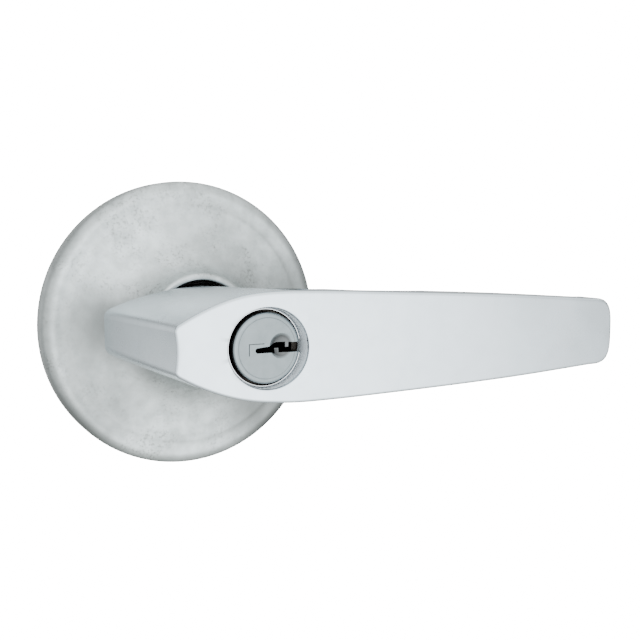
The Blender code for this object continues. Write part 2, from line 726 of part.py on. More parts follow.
def lever(place, tools):
    body = lever_body(place)
    shank_outline = [(0, BOSS_BACK + 4), (SHANK_RADIUS, BOSS_BACK + 4), (SHANK_RADIUS, SHANK_END + 0.4),
                     (SHANK_RADIUS - 0.4, SHANK_END), (0, SHANK_END)]
    join(body, turned("lever_shank", shank_outline, tools))
    in_front = FACE_HEIGHT + 5
    behind = SHANK_END - 2
    shell_bore = SHELL_RADIUS + GAP
    shell_seat = SHELL_FRONT + GAP
    shell_end = SHELL_BACK - GAP
    bore_outline = [(0, in_front), (FACE_BORE, in_front), (FACE_BORE, shell_seat), (shell_bore, shell_seat),
                    (shell_bore, shell_end), (SHANK_BORE, shell_end), (SHANK_BORE, behind), (0, behind)]
    bore = turned("lever_bore", bore_outline, tools)
    half = BIBLE_HALF_WIDTH + GAP
    low = (BIBLE_END - 0.4, -half, behind)
    slot = block("lever_bible_slot", low, (-2.0, half, BIBLE_FRONT + GAP), tools)
    cut(body, bore, slot, downward_hole("lever_catch_hole", CATCH_HOLE + 0.1, tools))


def cylinder_shell(place, tools):
    bore = PLUG_RADIUS + RUNNING_GAP
    outline = [(bore, NOSE_FRONT), (NOSE_RADIUS, NOSE_FRONT), (NOSE_RADIUS, SHELL_FRONT),
               (SHELL_RADIUS, SHELL_FRONT), (SHELL_RADIUS, SHELL_BACK), (bore, SHELL_BACK)]
    shell = turned("cylinder_shell", outline, place)
    low = (BIBLE_END + BIBLE_CAP_THICKNESS + GAP, -BIBLE_HALF_WIDTH, SHELL_BACK)
    join(shell, block("bible", low, (-bore - 0.9, BIBLE_HALF_WIDTH, BIBLE_FRONT), tools))
    for height in PIN_HEIGHTS:
        cut(shell, chamber("shell_chamber", -16.0, -4.0, height, tools))


def chamber(name, outer_x, inner_x, height, tools):
    """A cutter for one pin's chamber, from inner_x out to outer_x on the left."""
    return put(cylinder(name, CHAMBER_RADIUS, -inner_x, -outer_x, tools, turn=TOWARD_LEFT), 0, 0, height)


def bible_cap(place):
    """The strip that closes the pin chambers."""
    low = (BIBLE_END, -2.4, SHELL_BACK + 0.4)
    high = (BIBLE_END + BIBLE_CAP_THICKNESS, 2.4, BIBLE_FRONT - 0.4)
    block("bible_cap", low, high, place)


def trim_ring(place, tools):
    back = NOSE_FRONT + GAP
    front = back + TRIM_RING_DEPTH
    ring = turned("trim_ring", tube_outline(TRIM_RING_INNER, TRIM_RING_OUTER, back, front), place)
    half = TRIM_RING_GAP / 2
    cut(ring, block("trim_ring_gap", (0, -half, back - 1), (TRIM_RING_OUTER + 1, half, front + 1), tools))


def catch_spring(place):
    """A leaf bent round the inside of the drive tube, with its end across the catch's head."""
    inner = LEAF_RADIUS - LEAF_THICKNESS / 2
    outer = LEAF_RADIUS + LEAF_THICKNESS / 2
    low = LEAF_CROSSING - LEAF_THICKNESS / 2
    high = LEAF_CROSSING + LEAF_THICKNESS / 2
    outer_end = math.degrees(math.asin(low / outer))
    inner_end = math.degrees(math.asin(high / inner))
    outline = arc((0, 0), outer, outer, 170, outer_end, 20) + [(-2.6, low), (-2.6, high)]
    outline += arc((0, 0), inner, inner, inner_end, 170, 20)
    slab("catch_spring", outline, CATCH_HEIGHT - LEAF_WIDTH / 2, CATCH_HEIGHT + LEAF_WIDTH / 2, place)


def catch_stud(place):
    """The stud that holds the lever on the drive tube, pushed in from below to free it."""
    outline = [(0, CATCH_TIP), (CATCH_RADIUS - 0.4, CATCH_TIP), (CATCH_RADIUS, CATCH_TIP - 0.4),
               (CATCH_RADIUS, CATCH_SHOULDER), (CATCH_HEAD_RADIUS, CATCH_SHOULDER),
               (CATCH_HEAD_RADIUS, CATCH_HEAD_BACK), (0, CATCH_HEAD_BACK)]
    put(turned("catch_stud", outline, place, steps=24, turn=TOWARD_GROUND), 0, 0, CATCH_HEIGHT)


def pin_spring(name, height, place):
    """A coil between a driver pin and the bible's cap."""
    points = []
    turn_points = 8
    count = PIN_SPRING_TURNS * turn_points
    foot = PIN_SPRING_FOOT - PIN_SPRING_WIRE
    top = PIN_SPRING_TOP + PIN_SPRING_WIRE
    for step in range(count + 1):
        angle = 2 * math.pi * step / turn_points
        x = foot + (top - foot) * step / count
        y = PIN_SPRING_RADIUS * math.cos(angle)
        points.append((x, y, height + PIN_SPRING_RADIUS * math.sin(angle)))
    wire(name, points, PIN_SPRING_WIRE, place, resolution=0)


def driver_pin(name, height, place):
    foot = -DRIVER_PIN_FOOT
    top = foot + DRIVER_PIN_LENGTH
    outline = [(0, top), (PIN_RADIUS - 0.2, top), (PIN_RADIUS, top - 0.2), (PIN_RADIUS, foot + 0.2),
               (PIN_RADIUS - 0.2, foot), (0, foot)]
    put(turned(name, outline, place, steps=16, turn=TOWARD_LEFT), 0, 0, height)


# ---------------------------------------------------------------- pieces that turn with the key

def plug(place, tools):
    flange_back = NOSE_FRONT + GAP
    clip_low = CLIP_BACK - GAP / 2
    clip_high = CLIP_BACK + CLIP_THICKNESS + GAP / 2
    rim = PLUG_RIM_ROUNDING
    outline = [(0, PLUG_FACE)] + arc((PLUG_FLANGE - rim, PLUG_FACE - rim), rim, rim, 90, 0, 3)
    outline += [(PLUG_FLANGE, flange_back), (PLUG_RADIUS, flange_back), (PLUG_RADIUS, SHELL_BACK),
                (PLUG_TAIL, SHELL_BACK), (PLUG_TAIL, clip_high), (CLIP_GROOVE, clip_high),
                (CLIP_GROOVE, clip_low), (PLUG_TAIL, clip_low), (PLUG_TAIL, PLUG_END), (0, PLUG_END)]
    body = turned("plug", outline, place)
    cut(body, solid_slab("keyway", KEYWAY, KEYWAY_BACK, PLUG_FACE + 1, tools))
    sink_floor = PLUG_FACE - COUNTERSINK_DEPTH
    sink = cylinder("keyway_countersink", COUNTERSINK_RADIUS, sink_floor, PLUG_FACE + 1, tools, steps=48)
    cut(body, put(sink, *COUNTERSINK_CENTRE, 0))
    for height in PIN_HEIGHTS:
        cut(body, chamber("plug_chamber", -8.0, CHAMBER_FLOOR, height, tools))
    half_thick = TAILPIECE_THICKNESS / 2 + RUNNING_GAP
    low = (-half_thick, -7.0, PLUG_END - 1)
    cut(body, block("tail_slot", low, (half_thick, 7.0, TAIL_SLOT_FRONT), tools))


def plug_clip(place, tools):
    inner = CLIP_GROOVE + GAP
    front = CLIP_BACK + CLIP_THICKNESS
    ring = turned("plug_clip", tube_outline(inner, CLIP_RADIUS, CLIP_BACK, front), place)
    half = inner * 0.75
    cut(ring, block("plug_clip_gap", (0, -half, CLIP_BACK - 1), (CLIP_RADIUS + 1, half, front + 1), tools))


def tailpiece(place, tools):
    """The flat blade that carries the key's turn through the spindle, with its wide head in the plug."""
    half_thick = TAILPIECE_THICKNESS / 2
    half_width = TAILPIECE_WIDTH / 2
    half_head = TAILPIECE_HEAD / 2
    head_front = TAIL_SLOT_FRONT - GAP
    blade = block("tailpiece", (-half_thick, -half_width, TAILPIECE_BACK),
                  (half_thick, half_width, head_front - 0.5), place)
    head = block("tailpiece_head", (-half_thick, -half_head, PLUG_END + GAP),
                 (half_thick, half_head, head_front), tools)
    join(blade, head)


def bottom_pin(name, length, height, place):
    """A pin with a rounded foot that rides on the key's edge."""
    top = -BOTTOM_PIN_TOP
    foot = top - length
    outline = [(0, top), (PIN_RADIUS - 0.15, top), (PIN_RADIUS, top - 0.15), (PIN_RADIUS, foot + 1.0),
               (0.5, foot), (0, foot)]
    put(turned(name, outline, place, steps=16, turn=TOWARD_LEFT), 0, 0, height)


# ---------------------------------------------------------------- the whole lockset

def clear_scene():
    for leftover in list(bpy.data.objects):
        bpy.data.objects.remove(leftover)


def build():
    clear_scene()
    lockset = make_collection("lever_handle_lockset")
    cutters = (make_collection("cutters"), None)
    cutters[0].hide_render = True
    satin = (lockset, satin_chrome())
    chrome = (lockset, bright_chrome())
    plated = (lockset, zinc_plated_steel())
    sprung = (lockset, spring_steel())
    brass = (lockset, cylinder_brass())
    nickel = (lockset, nickel_plated_brass())
    nylon = (lockset, black_nylon())

    rose(satin)
    mounting_plate(plated, cutters)
    threaded_post("threaded_post_left", -1, plated)
    threaded_post("threaded_post_right", 1, plated)
    for number, (x, y) in enumerate(rivet_places(), start=1):
        cage_rivet(f"cage_rivet_{number}", x, y, plated)
    spring_cage(plated, cutters)
    bearing_bush(nylon)
    thrust_washer(nylon)
    return_spring(sprung)

    lever(satin, cutters)
    drive_tube(plated, cutters)
    drive_disc(plated, cutters)
    snap_ring(sprung, cutters)
    spindle(plated, cutters)
    cylinder_shell(nickel, cutters)
    bible_cap(brass)
    trim_ring(chrome, cutters)
    catch_spring(sprung)
    catch_stud(plated)

    plug(nickel, cutters)
    plug_clip(sprung, cutters)
    tailpiece(plated, cutters)
    for number, (height, length) in enumerate(zip(PIN_HEIGHTS, BOTTOM_PIN_LENGTHS), start=1):
        bottom_pin(f"bottom_pin_{number}", length, height, brass)
        driver_pin(f"driver_pin_{number}", height, brass)
        pin_spring(f"pin_spring_{number}", height, sprung)


build()
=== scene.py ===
import math

import bmesh
import bpy
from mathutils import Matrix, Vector

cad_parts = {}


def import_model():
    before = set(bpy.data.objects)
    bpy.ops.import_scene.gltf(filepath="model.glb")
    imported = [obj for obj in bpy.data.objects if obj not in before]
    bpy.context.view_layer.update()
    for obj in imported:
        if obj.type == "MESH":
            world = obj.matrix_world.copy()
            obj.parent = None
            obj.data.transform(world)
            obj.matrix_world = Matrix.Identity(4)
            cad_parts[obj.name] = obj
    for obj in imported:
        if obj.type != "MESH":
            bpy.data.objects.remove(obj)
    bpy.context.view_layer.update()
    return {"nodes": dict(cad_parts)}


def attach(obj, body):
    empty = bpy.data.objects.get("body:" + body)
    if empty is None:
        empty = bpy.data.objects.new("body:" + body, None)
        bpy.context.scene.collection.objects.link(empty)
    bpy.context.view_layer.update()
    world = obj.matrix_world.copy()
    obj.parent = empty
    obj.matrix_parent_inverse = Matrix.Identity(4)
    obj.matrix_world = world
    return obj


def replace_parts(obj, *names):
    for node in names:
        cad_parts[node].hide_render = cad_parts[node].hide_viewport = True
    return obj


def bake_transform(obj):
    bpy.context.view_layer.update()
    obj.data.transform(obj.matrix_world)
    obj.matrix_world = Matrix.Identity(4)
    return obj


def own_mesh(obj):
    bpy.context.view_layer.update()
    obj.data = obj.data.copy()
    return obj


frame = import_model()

NODES = frame["nodes"]

# Places are written in millimetres as (x, y, height): x along the lever, y up, height out of the door.
MM = 0.001
ROOT = "rose_and_cage"
LEVER = "lever_set"
KEY = "key_plug"


def world(x, y, height):
    return Vector((x, -height, y)) * MM


# ---------------------------------------------------------------- curves

def bezier(start, start_pull, end_pull, end, count):
    points = []
    for step in range(count + 1):
        t = step / count
        weights = ((1 - t) ** 3, 3 * t * (1 - t) ** 2, 3 * t * t * (1 - t), t ** 3)
        corners = (start, start_pull, end_pull, end)
        points.append(tuple(sum(w * c[axis] for w, c in zip(weights, corners)) for axis in (0, 1)))
    return points


def arc(centre, radius_x, radius_y, start_angle, end_angle, count):
    points = []
    for step in range(count + 1):
        angle = math.radians(start_angle + (end_angle - start_angle) * step / count)
        points.append((centre[0] + radius_x * math.cos(angle), centre[1] + radius_y * math.sin(angle)))
    return points


def circle(radius, sides, turn=0.0):
    """Corners of a round section, turned on by a share of the step between them."""
    angles = [2 * math.pi * (side + turn) / sides for side in range(sides)]
    return [(radius * math.cos(angle), radius * math.sin(angle)) for angle in angles]


def smooth_value(points, x):
    """Height at x on a smooth curve through the given points."""
    last = len(points) - 1
    piece = max(i for i in range(last) if i == 0 or points[i][0] <= x)
    before = points[max(piece - 1, 0)]
    start = points[piece]
    end = points[piece + 1]
    after = points[min(piece + 2, last)]
    span = end[0] - start[0]
    slope_in = (end[1] - before[1]) / (end[0] - before[0]) * span
    slope_out = (after[1] - start[1]) / (after[0] - start[0]) * span
    t = (x - start[0]) / span
    rise = (2 * t ** 3 - 3 * t ** 2 + 1) * start[1] + (3 * t ** 2 - 2 * t ** 3) * end[1]
    return rise + (t ** 3 - 2 * t ** 2 + t) * slope_in + (t ** 3 - t ** 2) * slope_out


# ---------------------------------------------------------------- mesh making

PEG_STEPS = 48


def make_object(name, points, faces, material, sharp_angle=40):
    """A mesh object from world points, welded, turned outward and smooth except at its sharp edges."""
    mesh = bpy.data.meshes.new(name)
    mesh.from_pydata(points, [], faces)
    shell = bmesh.new()
    shell.from_mesh(mesh)
    bmesh.ops.remove_doubles(shell, verts=shell.verts, dist=1e-7)
    bmesh.ops.recalc_face_normals(shell, faces=shell.faces)
    shell.to_mesh(mesh)
    shell.free()
    mesh.shade_smooth()
    mesh.set_sharp_from_angle(angle=math.radians(sharp_angle))
    piece = bpy.data.objects.new(name, mesh)
    bpy.context.scene.collection.objects.link(piece)
    if material:
        mesh.materials.append(material)
    return piece


def turned(name, outline, material, steps=192, centre=(0, 0), sharp_angle=40):
    """A round piece about the spindle's direction, from a closed outline of (radius, height) pairs."""
    points = []
    rings = []
    for radius, height in outline:
        first = len(points)
        count = steps if radius > 0 else 1
        points += [world(centre[0] + x, centre[1] + y, height) for x, y in circle(radius, count)]
        rings.append([first + step % count for step in range(steps)])
    faces = []
    for ring, below in zip(rings, rings[1:] + rings[:1]):
        for step in range(steps):
            after = (step + 1) % steps
            corners = list(dict.fromkeys([ring[step], below[step], below[after], ring[after]]))
            if len(corners) > 2:
                faces.append(corners)
    return make_object(name, points, faces, material, sharp_angle)


def slab(name, outline, back, front, material=None):
    count = len(outline)
    points = [world(x, y, back) for x, y in outline] + [world(x, y, front) for x, y in outline]
    faces = [list(range(count)), list(range(count, 2 * count))]
    for corner in range(count):
        after = (corner + 1) % count
        faces.append([corner, after, count + after, count + corner])
    return make_object(name, points, faces, material)


def block(name, low, high):
    outline = [(low[0], low[1]), (high[0], low[1]), (high[0], high[1]), (low[0], high[1])]
    return slab(name, outline, low[2], high[2])


def swept(name, points, section, material, aside=None, sharp_angle=40):
    """A bar whose section is (aside, upward) pairs, carried along a line of (x, y, height) vectors."""
    last = len(points) - 1
    sides = len(section)
    vertices = []
    for index, point in enumerate(points):
        ahead = (points[min(index + 1, last)] - points[max(index - 1, 0)]).normalized()
        aside = aside or ahead.orthogonal()
        aside = (aside - ahead * aside.dot(ahead)).normalized()
        upward = ahead.cross(aside)
        vertices += [world(*(point + aside * a + upward * b)) for a, b in section]
    faces = [list(range(sides)), list(range(last * sides, (last + 1) * sides))]
    for index in range(last):
        here = index * sides
        for side in range(sides):
            after = (side + 1) % sides
            faces.append([here + side, here + after, here + sides + after, here + sides + side])
    return make_object(name, vertices, faces, material, sharp_angle)


def wire(name, points, radius, material, sides=14):
    """A round wire through the given points."""
    return swept(name, points, circle(radius, sides), material, sharp_angle=60)


def peg(name, radius, start, end):
    """A cutting peg between two (x, y, height) points, turned so that its corners miss the piece's own."""
    return swept(name, [Vector(start), Vector(end)], circle(radius, PEG_STEPS, turn=0.5), None)


def apply_modifiers(piece):
    graph = bpy.context.evaluated_depsgraph_get()
    mesh = bpy.data.meshes.new_from_object(piece.evaluated_get(graph))
    piece.modifiers.clear()
    old = piece.data
    piece.data = mesh
    bpy.data.meshes.remove(old)


def carve(piece, cutters, added=(), sharp_angle=40):
    """Adds some shapes to the piece and cuts others out of it, for good, and removes them."""
    tools = [(shape, "UNION") for shape in added] + [(shape, "DIFFERENCE") for shape in cutters]
    for shape, operation in tools:
        modifier = piece.modifiers.new("shape", "BOOLEAN")
        modifier.operation = operation
        modifier.solver = "EXACT"
        modifier.object = shape
    apply_modifiers(piece)
    for shape, _ in tools:
        bpy.data.objects.remove(shape)
    piece.data.shade_smooth()
    piece.data.set_sharp_from_angle(angle=math.radians(sharp_angle))


def even_normals(piece):
    """Keeps flat areas flat beside narrow roundings."""
    modifier = piece.modifiers.new("even normals", "WEIGHTED_NORMAL")
    modifier.keep_sharp = True
    modifier.weight = 80


# ---------------------------------------------------------------- materials

class Nodes:
    """Short calls for making and linking the nodes of a tree."""

    def __init__(self, owner):
        owner.use_nodes = True
        self.tree = owner.node_tree

    def node(self, kind, **settings):
        node = self.tree.nodes.new(kind)
        for key, value in settings.items():
            setattr(node, key, value)
        return node

    def link(self, output, target):
        self.tree.links.new(output, target)

    def between(self, value, low, high, from_low=0.0, from_high=1.0, smooth=False):
        node = self.node("ShaderNodeMapRange", interpolation_type="SMOOTHSTEP" if smooth else "LINEAR")
        node.inputs["From Min"].default_value = from_low
        node.inputs["From Max"].default_value = from_high
        node.inputs["To Min"].default_value = low
        node.inputs["To Max"].default_value = high
        self.link(value, node.inputs["Value"])
        return node.outputs["Result"]

    def mix(self, value, first, second):
        node = self.node("ShaderNodeMix", data_type="RGBA")
        self.link(value, node.inputs["Factor"])
        for socket, colour in ((node.inputs[6], first), (node.inputs[7], second)):
            if isinstance(colour, tuple):
                socket.default_value = (*colour, 1)
            else:
                self.link(colour, socket)
        return node.outputs[2]

    def math(self, operation, first, second):
        node = self.node("ShaderNodeMath", operation=operation)
        for socket, value in zip(node.inputs, (first, second)):
            if isinstance(value, (int, float)):
                socket.default_value = value
            else:
                self.link(value, socket)
        return node.outputs[0]


class Finish(Nodes):
    """A node material with a Principled shader."""

    def __init__(self, name):
        self.material = bpy.data.materials.new(name)
        super().__init__(self.material)
        self.shader = self.tree.nodes["Principled BSDF"]
        self.place = self.node("ShaderNodeTexCoord").outputs["Object"]

    def stretch(self, scale):
        node = self.node("ShaderNodeMapping")
        node.inputs["Scale"].default_value = scale
        self.link(self.place, node.inputs["Vector"])
        return node.outputs["Vector"]

    def axes(self):
        split = self.node("ShaderNodeSeparateXYZ")
        self.link(self.place, split.inputs[0])
        return split.outputs

    def height(self):
        """How far out of the door a point is, in metres."""
        return self.math("MULTIPLY", self.axes()[1], -1.0)

    def radius(self, x=0.0, y=0.0):
        """How far a point is from a line out of the door through (x, y), in metres."""
        axes = self.axes()
        squares = []
        for axis, centre in ((0, x), (2, y)):
            offset = self.math("SUBTRACT", axes[axis], centre)
            squares.append(self.math("MULTIPLY", offset, offset))
        return self.math("SQRT", self.math("ADD", *squares), 0.0)

    def noise(self, scale, detail=3.0, roughness=0.5, vector=None, distortion=0.0):
        node = self.node("ShaderNodeTexNoise")
        node.inputs["Scale"].default_value = scale
        node.inputs["Detail"].default_value = detail
        node.inputs["Roughness"].default_value = roughness
        node.inputs["Distortion"].default_value = distortion
        self.link(vector or self.place, node.inputs["Vector"])
        return node.outputs["Fac"]

    def bump(self, height, strength, distance):
        node = self.node("ShaderNodeBump")
        node.inputs["Strength"].default_value = strength
        node.inputs["Distance"].default_value = distance
        self.link(height, node.inputs["Height"])
        self.link(node.outputs["Normal"], self.shader.inputs["Normal"])

    def set(self, **values):
        for key, value in values.items():
            socket = self.shader.inputs[key.replace("_", " ")]
            if hasattr(value, "is_output"):
                self.link(value, socket)
            else:
                socket.default_value = value


# Smudge marks on the lever and patches of painted shade on the rose wander by some millimetres, and are at
# full strength over a share of their reach.
SMUDGE_AND_SHADE_TONE = (0.24, 0.25, 0.245)
SMUDGE_AND_SHADE_WANDER = 6.0
SMUDGE_AND_SHADE_CORE = 0.2
SPECK_TONE = (0.16, 0.16, 0.145)
SHADED_TONE = (0.44, 0.49, 0.52)
SHADE_END = 44.0


def satin_plating(name, light, dark, smooth, rough, mottle):
    """Satin plating with a fine grain and duller blotches: the finish, its tone and its large noise."""
    finish = Finish(name)
    broad = finish.noise(55, 4, 0.55, distortion=0.6)
    blotch = finish.noise(320, 3, 0.6)
    grain = finish.noise(5200, 2, 0.5)
    dull = finish.math("ADD", finish.math("MULTIPLY", broad, 0.5), finish.math("MULTIPLY", blotch, 0.5))
    soft = finish.between(dull, 0, 1, 0.5 - mottle, 0.5 + mottle)
    finish.set(Metallic=1.0, Roughness=finish.between(soft, smooth, rough))
    finish.bump(finish.math("ADD", grain, finish.math("MULTIPLY", blotch, 0.6)), 0.10, 0.00006)
    return finish, finish.mix(soft, light, dark), broad


def smudged_and_shaded(finish, tone, broad, dark_patches):
    """The tone with soft dull patches on it, each given as (x, y, reach, strength): real smudge marks on
    the lever, painted shade on the rose.
    """
    wander = finish.between(broad, -SMUDGE_AND_SHADE_WANDER * MM, SMUDGE_AND_SHADE_WANDER * MM)
    for x, y, reach, strength in dark_patches:
        distance = finish.math("ADD", finish.radius(x * MM, y * MM), wander)
        cover = finish.between(distance, strength, 0, reach * SMUDGE_AND_SHADE_CORE * MM, reach * MM, smooth=True)
        tone = finish.mix(cover, tone, SMUDGE_AND_SHADE_TONE)
    return tone


def rose_satin():
    """The rose's plating, the duller of the two, with small specks of wear in patches; its tone is set
    darker than the lever's partly as painted shade, and soft patches of painted shade darken its sides,
    with a painted shadow beside the lever's boss.
    """
    light, dark = (0.72, 0.755, 0.755), (0.52, 0.55, 0.545)
    finish, tone, broad = satin_plating("rose_satin", light, dark, 0.40, 0.50, 0.12)
    patches = finish.between(finish.noise(120, 3, 0.6), 0, 1, 0.46, 0.62)
    grit = finish.between(finish.noise(1500, 3, 0.6), 0, 0.5, 0.50, 0.68)
    tone = finish.mix(finish.math("MULTIPLY", patches, grit), tone, SPECK_TONE)
    finish.set(Base_Color=smudged_and_shaded(finish, tone, broad, ROSE_PAINTED_SHADE))
    return finish.material


def lever_satin():
    """The lever's plating, darker toward the rose, with the cylinder's bore left dull as cast."""
    light, dark = (0.87, 0.94, 1.0), (0.80, 0.865, 0.92)
    finish, tone, broad = satin_plating("lever_satin", light, dark, 0.22, 0.30, 0.22)
    tone = smudged_and_shaded(finish, tone, broad, LEVER_SMUDGES)
    shaded = finish.between(finish.height(), 0.8, 0, BOSS_BACK * MM, SHADE_END * MM)
    in_bore = finish.between(finish.radius(), 1, 0, (FACE_BORE + 0.02) * MM, (FACE_BORE + 0.08) * MM)
    finish.set(Base_Color=finish.mix(shaded, tone, SHADED_TONE))
    finish.set(Metallic=finish.math("SUBTRACT", 1.0, in_bore))
    return finish.material


def varied(name, scale, detail, first, second, smooth, rough, metallic=1.0):
    """A finish whose tone and roughness both follow one noise, which is given back with it."""
    finish = Finish(name)
    vary = finish.noise(scale, detail, 0.6)
    finish.set(Base_Color=finish.mix(vary, first, second), Metallic=metallic)
    finish.set(Roughness=finish.between(vary, smooth, rough))
    return finish, vary


def plated_steel():
    """Zinc plating: cool grey with a faint spangle and rolling lines."""
    cool, warm = (0.50, 0.52, 0.55), (0.66, 0.67, 0.66)
    finish, _ = varied("plated_steel_finish", 420, 3, cool, warm, 0.30, 0.46)
    finish.bump(finish.noise(900, 2, 0.5, vector=finish.stretch((1, 1, 0.06))), 0.15, 0.00008)
    return finish.material


def machined_brass():
    """Brass with light tarnish and turning lines."""
    bright, tarnished = (0.80, 0.62, 0.32), (0.58, 0.42, 0.19)
    finish, _ = varied("machined_brass_finish", 240, 4, bright, tarnished, 0.22, 0.38)
    finish.bump(finish.noise(3000, 1, 0.5, vector=finish.stretch((1, 0.05, 1))), 0.2, 0.00005)
    return finish.material


def spring_wire():
    """Dark oiled spring steel."""
    oiled, bare = (0.30, 0.30, 0.32), (0.50, 0.50, 0.50)
    finish, _ = varied("spring_wire_finish", 500, 3, oiled, bare, 0.20, 0.40)
    finish.bump(finish.noise(2500, 2, 0.5), 0.1, 0.00004)
    return finish.material


def black_nylon():
    dark, light = (0.018, 0.018, 0.019), (0.035, 0.035, 0.035)
    finish, grain = varied("black_nylon_finish", 1600, 3, dark, light, 0.42, 0.60, metallic=0.0)
    finish.bump(grain, 0.2, 0.00006)
    return finish.material


def bright_chrome():
    bright, worn_and_recess_shade = (0.88, 0.89, 0.90), (0.78, 0.79, 0.80)
    return varied("bright_chrome_finish", 700, 3, bright, worn_and_recess_shade, 0.05, 0.16)[0].material


def nickel_face():
    """The plug: satin nickel on its face; below it a dark brownish tone of old lubricant that is mostly
    painted shade, darker painted shade in its countersink and sunk lines, and round its side a near-black
    painted shadow of the gap.
    """
    finish = Finish("nickel_face_finish")
    patina = finish.noise(420, 4, 0.6)
    lubricant_and_shade_noise = finish.noise(900, 3, 0.6)
    # Painted shade: deep darkens all below the face, sunk darkens the countersink and the sunk lines, and
    # side paints the plug's side near-black as the shadow in the gap round it.
    deep = finish.between(finish.height(), 1, 0, (PLUG_FACE - 1.0) * MM, (PLUG_FACE - 0.62) * MM)
    sunk = finish.between(finish.height(), 0.9, 0, (PLUG_FACE - 0.28) * MM, (PLUG_FACE - 0.01) * MM)
    off_rim = finish.between(finish.radius(), 1, 0, (PLUG_FLANGE - 0.7) * MM, (PLUG_FLANGE - 0.6) * MM)
    side = finish.between(finish.radius(), 0, 1, (PLUG_FLANGE - 0.12) * MM, (PLUG_FLANGE - 0.04) * MM)
    face = finish.mix(patina, (0.335, 0.375, 0.39), (0.25, 0.28, 0.29))
    worn_and_recess_shade = finish.mix(finish.math("MULTIPLY", sunk, off_rim), face, (0.12, 0.12, 0.12))
    dark = finish.mix(lubricant_and_shade_noise, (0.060, 0.036, 0.022), (0.018, 0.012, 0.009))
    tone = finish.mix(side, finish.mix(deep, worn_and_recess_shade, dark), (0.008, 0.008, 0.008))
    finish.set(Base_Color=tone, Metallic=1.0)
    finish.set(Roughness=finish.between(patina, 0.30, 0.46))
    finish.bump(finish.noise(4200, 2, 0.5), 0.12, 0.00005)
    return finish.material


def shaded_nickel():
    """The cylinder's shell: dull brownish nickel with old lubricant on it, painted near-black as painted
    shade of the deep gap round the plug where it shows.
    """
    dull, shell_lubricant_and_shade = (0.070, 0.062, 0.055), (0.030, 0.026, 0.022)
    finish, _ = varied("shaded_nickel_finish", 600, 4, dull, shell_lubricant_and_shade, 0.32, 0.55)
    finish.bump(finish.noise(3000, 2, 0.5), 0.12, 0.00005)
    return finish.material


def white_stage():
    finish = Finish("studio_floor_finish")
    tone = finish.noise(6, 2, 0.5)
    finish.set(Base_Color=finish.mix(tone, (0.90, 0.90, 0.90), (0.92, 0.92, 0.92)), Roughness=0.9)
    finish.shader.inputs["Emission Color"].default_value = (1, 1, 1, 1)
    finish.shader.inputs["Emission Strength"].default_value = 18.0
    return finish.material


# ---------------------------------------------------------------- rose

ROSE_RADIUS = 33.35
ROSE_WALL = 1.1
ROSE_HOLE = 11.0
ROSE_LIP_HEIGHT = 16.0
ROSE_LIP_RADIUS = 12.5
ROSE_FLANK_START = (12.6, 15.0)
ROSE_FLANK_PULLS = ((13.5, 10.9), (15.4, 8.5))
ROSE_INNER_FLANK = ((20.5, 6.0), (14.6, 7.4), (12.6, 9.4), (11.9, 13.6))
ROSE_DISH_INNER = (20.5, 7.2)
ROSE_DISH_PULLS = ((22.8, 6.65), (25.4, 6.45))
ROSE_DISH_OUTER = (27.6, 6.35)
ROSE_GROOVE = ((28.6, 6.1), (29.2, 6.1))
ROSE_RIM_CREST = (30.5, 6.18)
ROSE_RIM_TURN = 3.2
ROSE_HOLE_ROUNDING = 0.35
ROSE_LIP_ROUNDING = 0.7
ROSE_COLLAR_DEPTH = 1.6
ROSE_COLLAR_WIDTH = 0.4
ROSE_UNDER_GROOVE = 0.15
ROSE_FOOT_ROUNDING = 0.25
# Patches of painted shade on the rose, as (x, y, reach, strength): on its left, lower left, lower right,
# right and top, with a painted shadow just beside the lever's boss.
ROSE_PAINTED_SHADE = ((-22.0, 0.0, 15.0, 0.80), (-17.5, -1.0, 8.0, 0.95), (-21.0, -17.0, 15.0, 0.65),
                (19.0, -21.0, 15.0, 0.95), (27.0, 8.0, 12.0, 0.5), (3.0, 24.0, 13.0, 0.25))


def rose_outline():
    """The side of the rose that shows, from the edge of its hole to its foot on the door."""
    inner, outer = ROSE_HOLE_ROUNDING, ROSE_LIP_ROUNDING
    lip = arc((ROSE_HOLE + inner, ROSE_LIP_HEIGHT - inner), inner, inner, 180, 90, 5)
    lip += arc((ROSE_LIP_RADIUS - outer, ROSE_LIP_HEIGHT - outer), outer, outer, 90, 12, 8)
    flank = bezier(ROSE_FLANK_START, *ROSE_FLANK_PULLS, ROSE_DISH_INNER, 30)
    dish = bezier(ROSE_DISH_INNER, *ROSE_DISH_PULLS, ROSE_DISH_OUTER, 14)[1:]
    groove = bezier(ROSE_DISH_OUTER, *ROSE_GROOVE, ROSE_RIM_CREST, 10)[1:-1]
    crest_radius, crest_height = ROSE_RIM_CREST
    rim_width, rim_rise = ROSE_RADIUS - crest_radius, crest_height - ROSE_RIM_TURN
    rim = arc((crest_radius, ROSE_RIM_TURN), rim_width, rim_rise, 90, 0, 16)
    turn = ROSE_FOOT_ROUNDING
    foot = arc((ROSE_RADIUS - turn, turn), turn, turn, 0, -90, 4)
    return lip + flank + dish + groove + rim + foot


def rose_inner_side():
    """The side of the rose that faces the door, from its foot back to its hole."""
    wall = ROSE_WALL
    crest_radius, crest_height = ROSE_RIM_CREST
    inner_wall = ROSE_RADIUS - wall
    rim = arc((crest_radius, ROSE_RIM_TURN), inner_wall - crest_radius,
              crest_height - wall - ROSE_RIM_TURN, 0, 90, 8)
    dish = (ROSE_DISH_OUTER[0], ROSE_DISH_OUTER[1] - wall - ROSE_UNDER_GROOVE)
    flank = bezier(*ROSE_INNER_FLANK, 12)
    collar_back = ROSE_LIP_HEIGHT - ROSE_COLLAR_DEPTH
    collar = [(ROSE_HOLE + ROSE_COLLAR_WIDTH, collar_back), (ROSE_HOLE, collar_back)]
    return [(inner_wall, 0)] + rim + [dish] + flank + collar


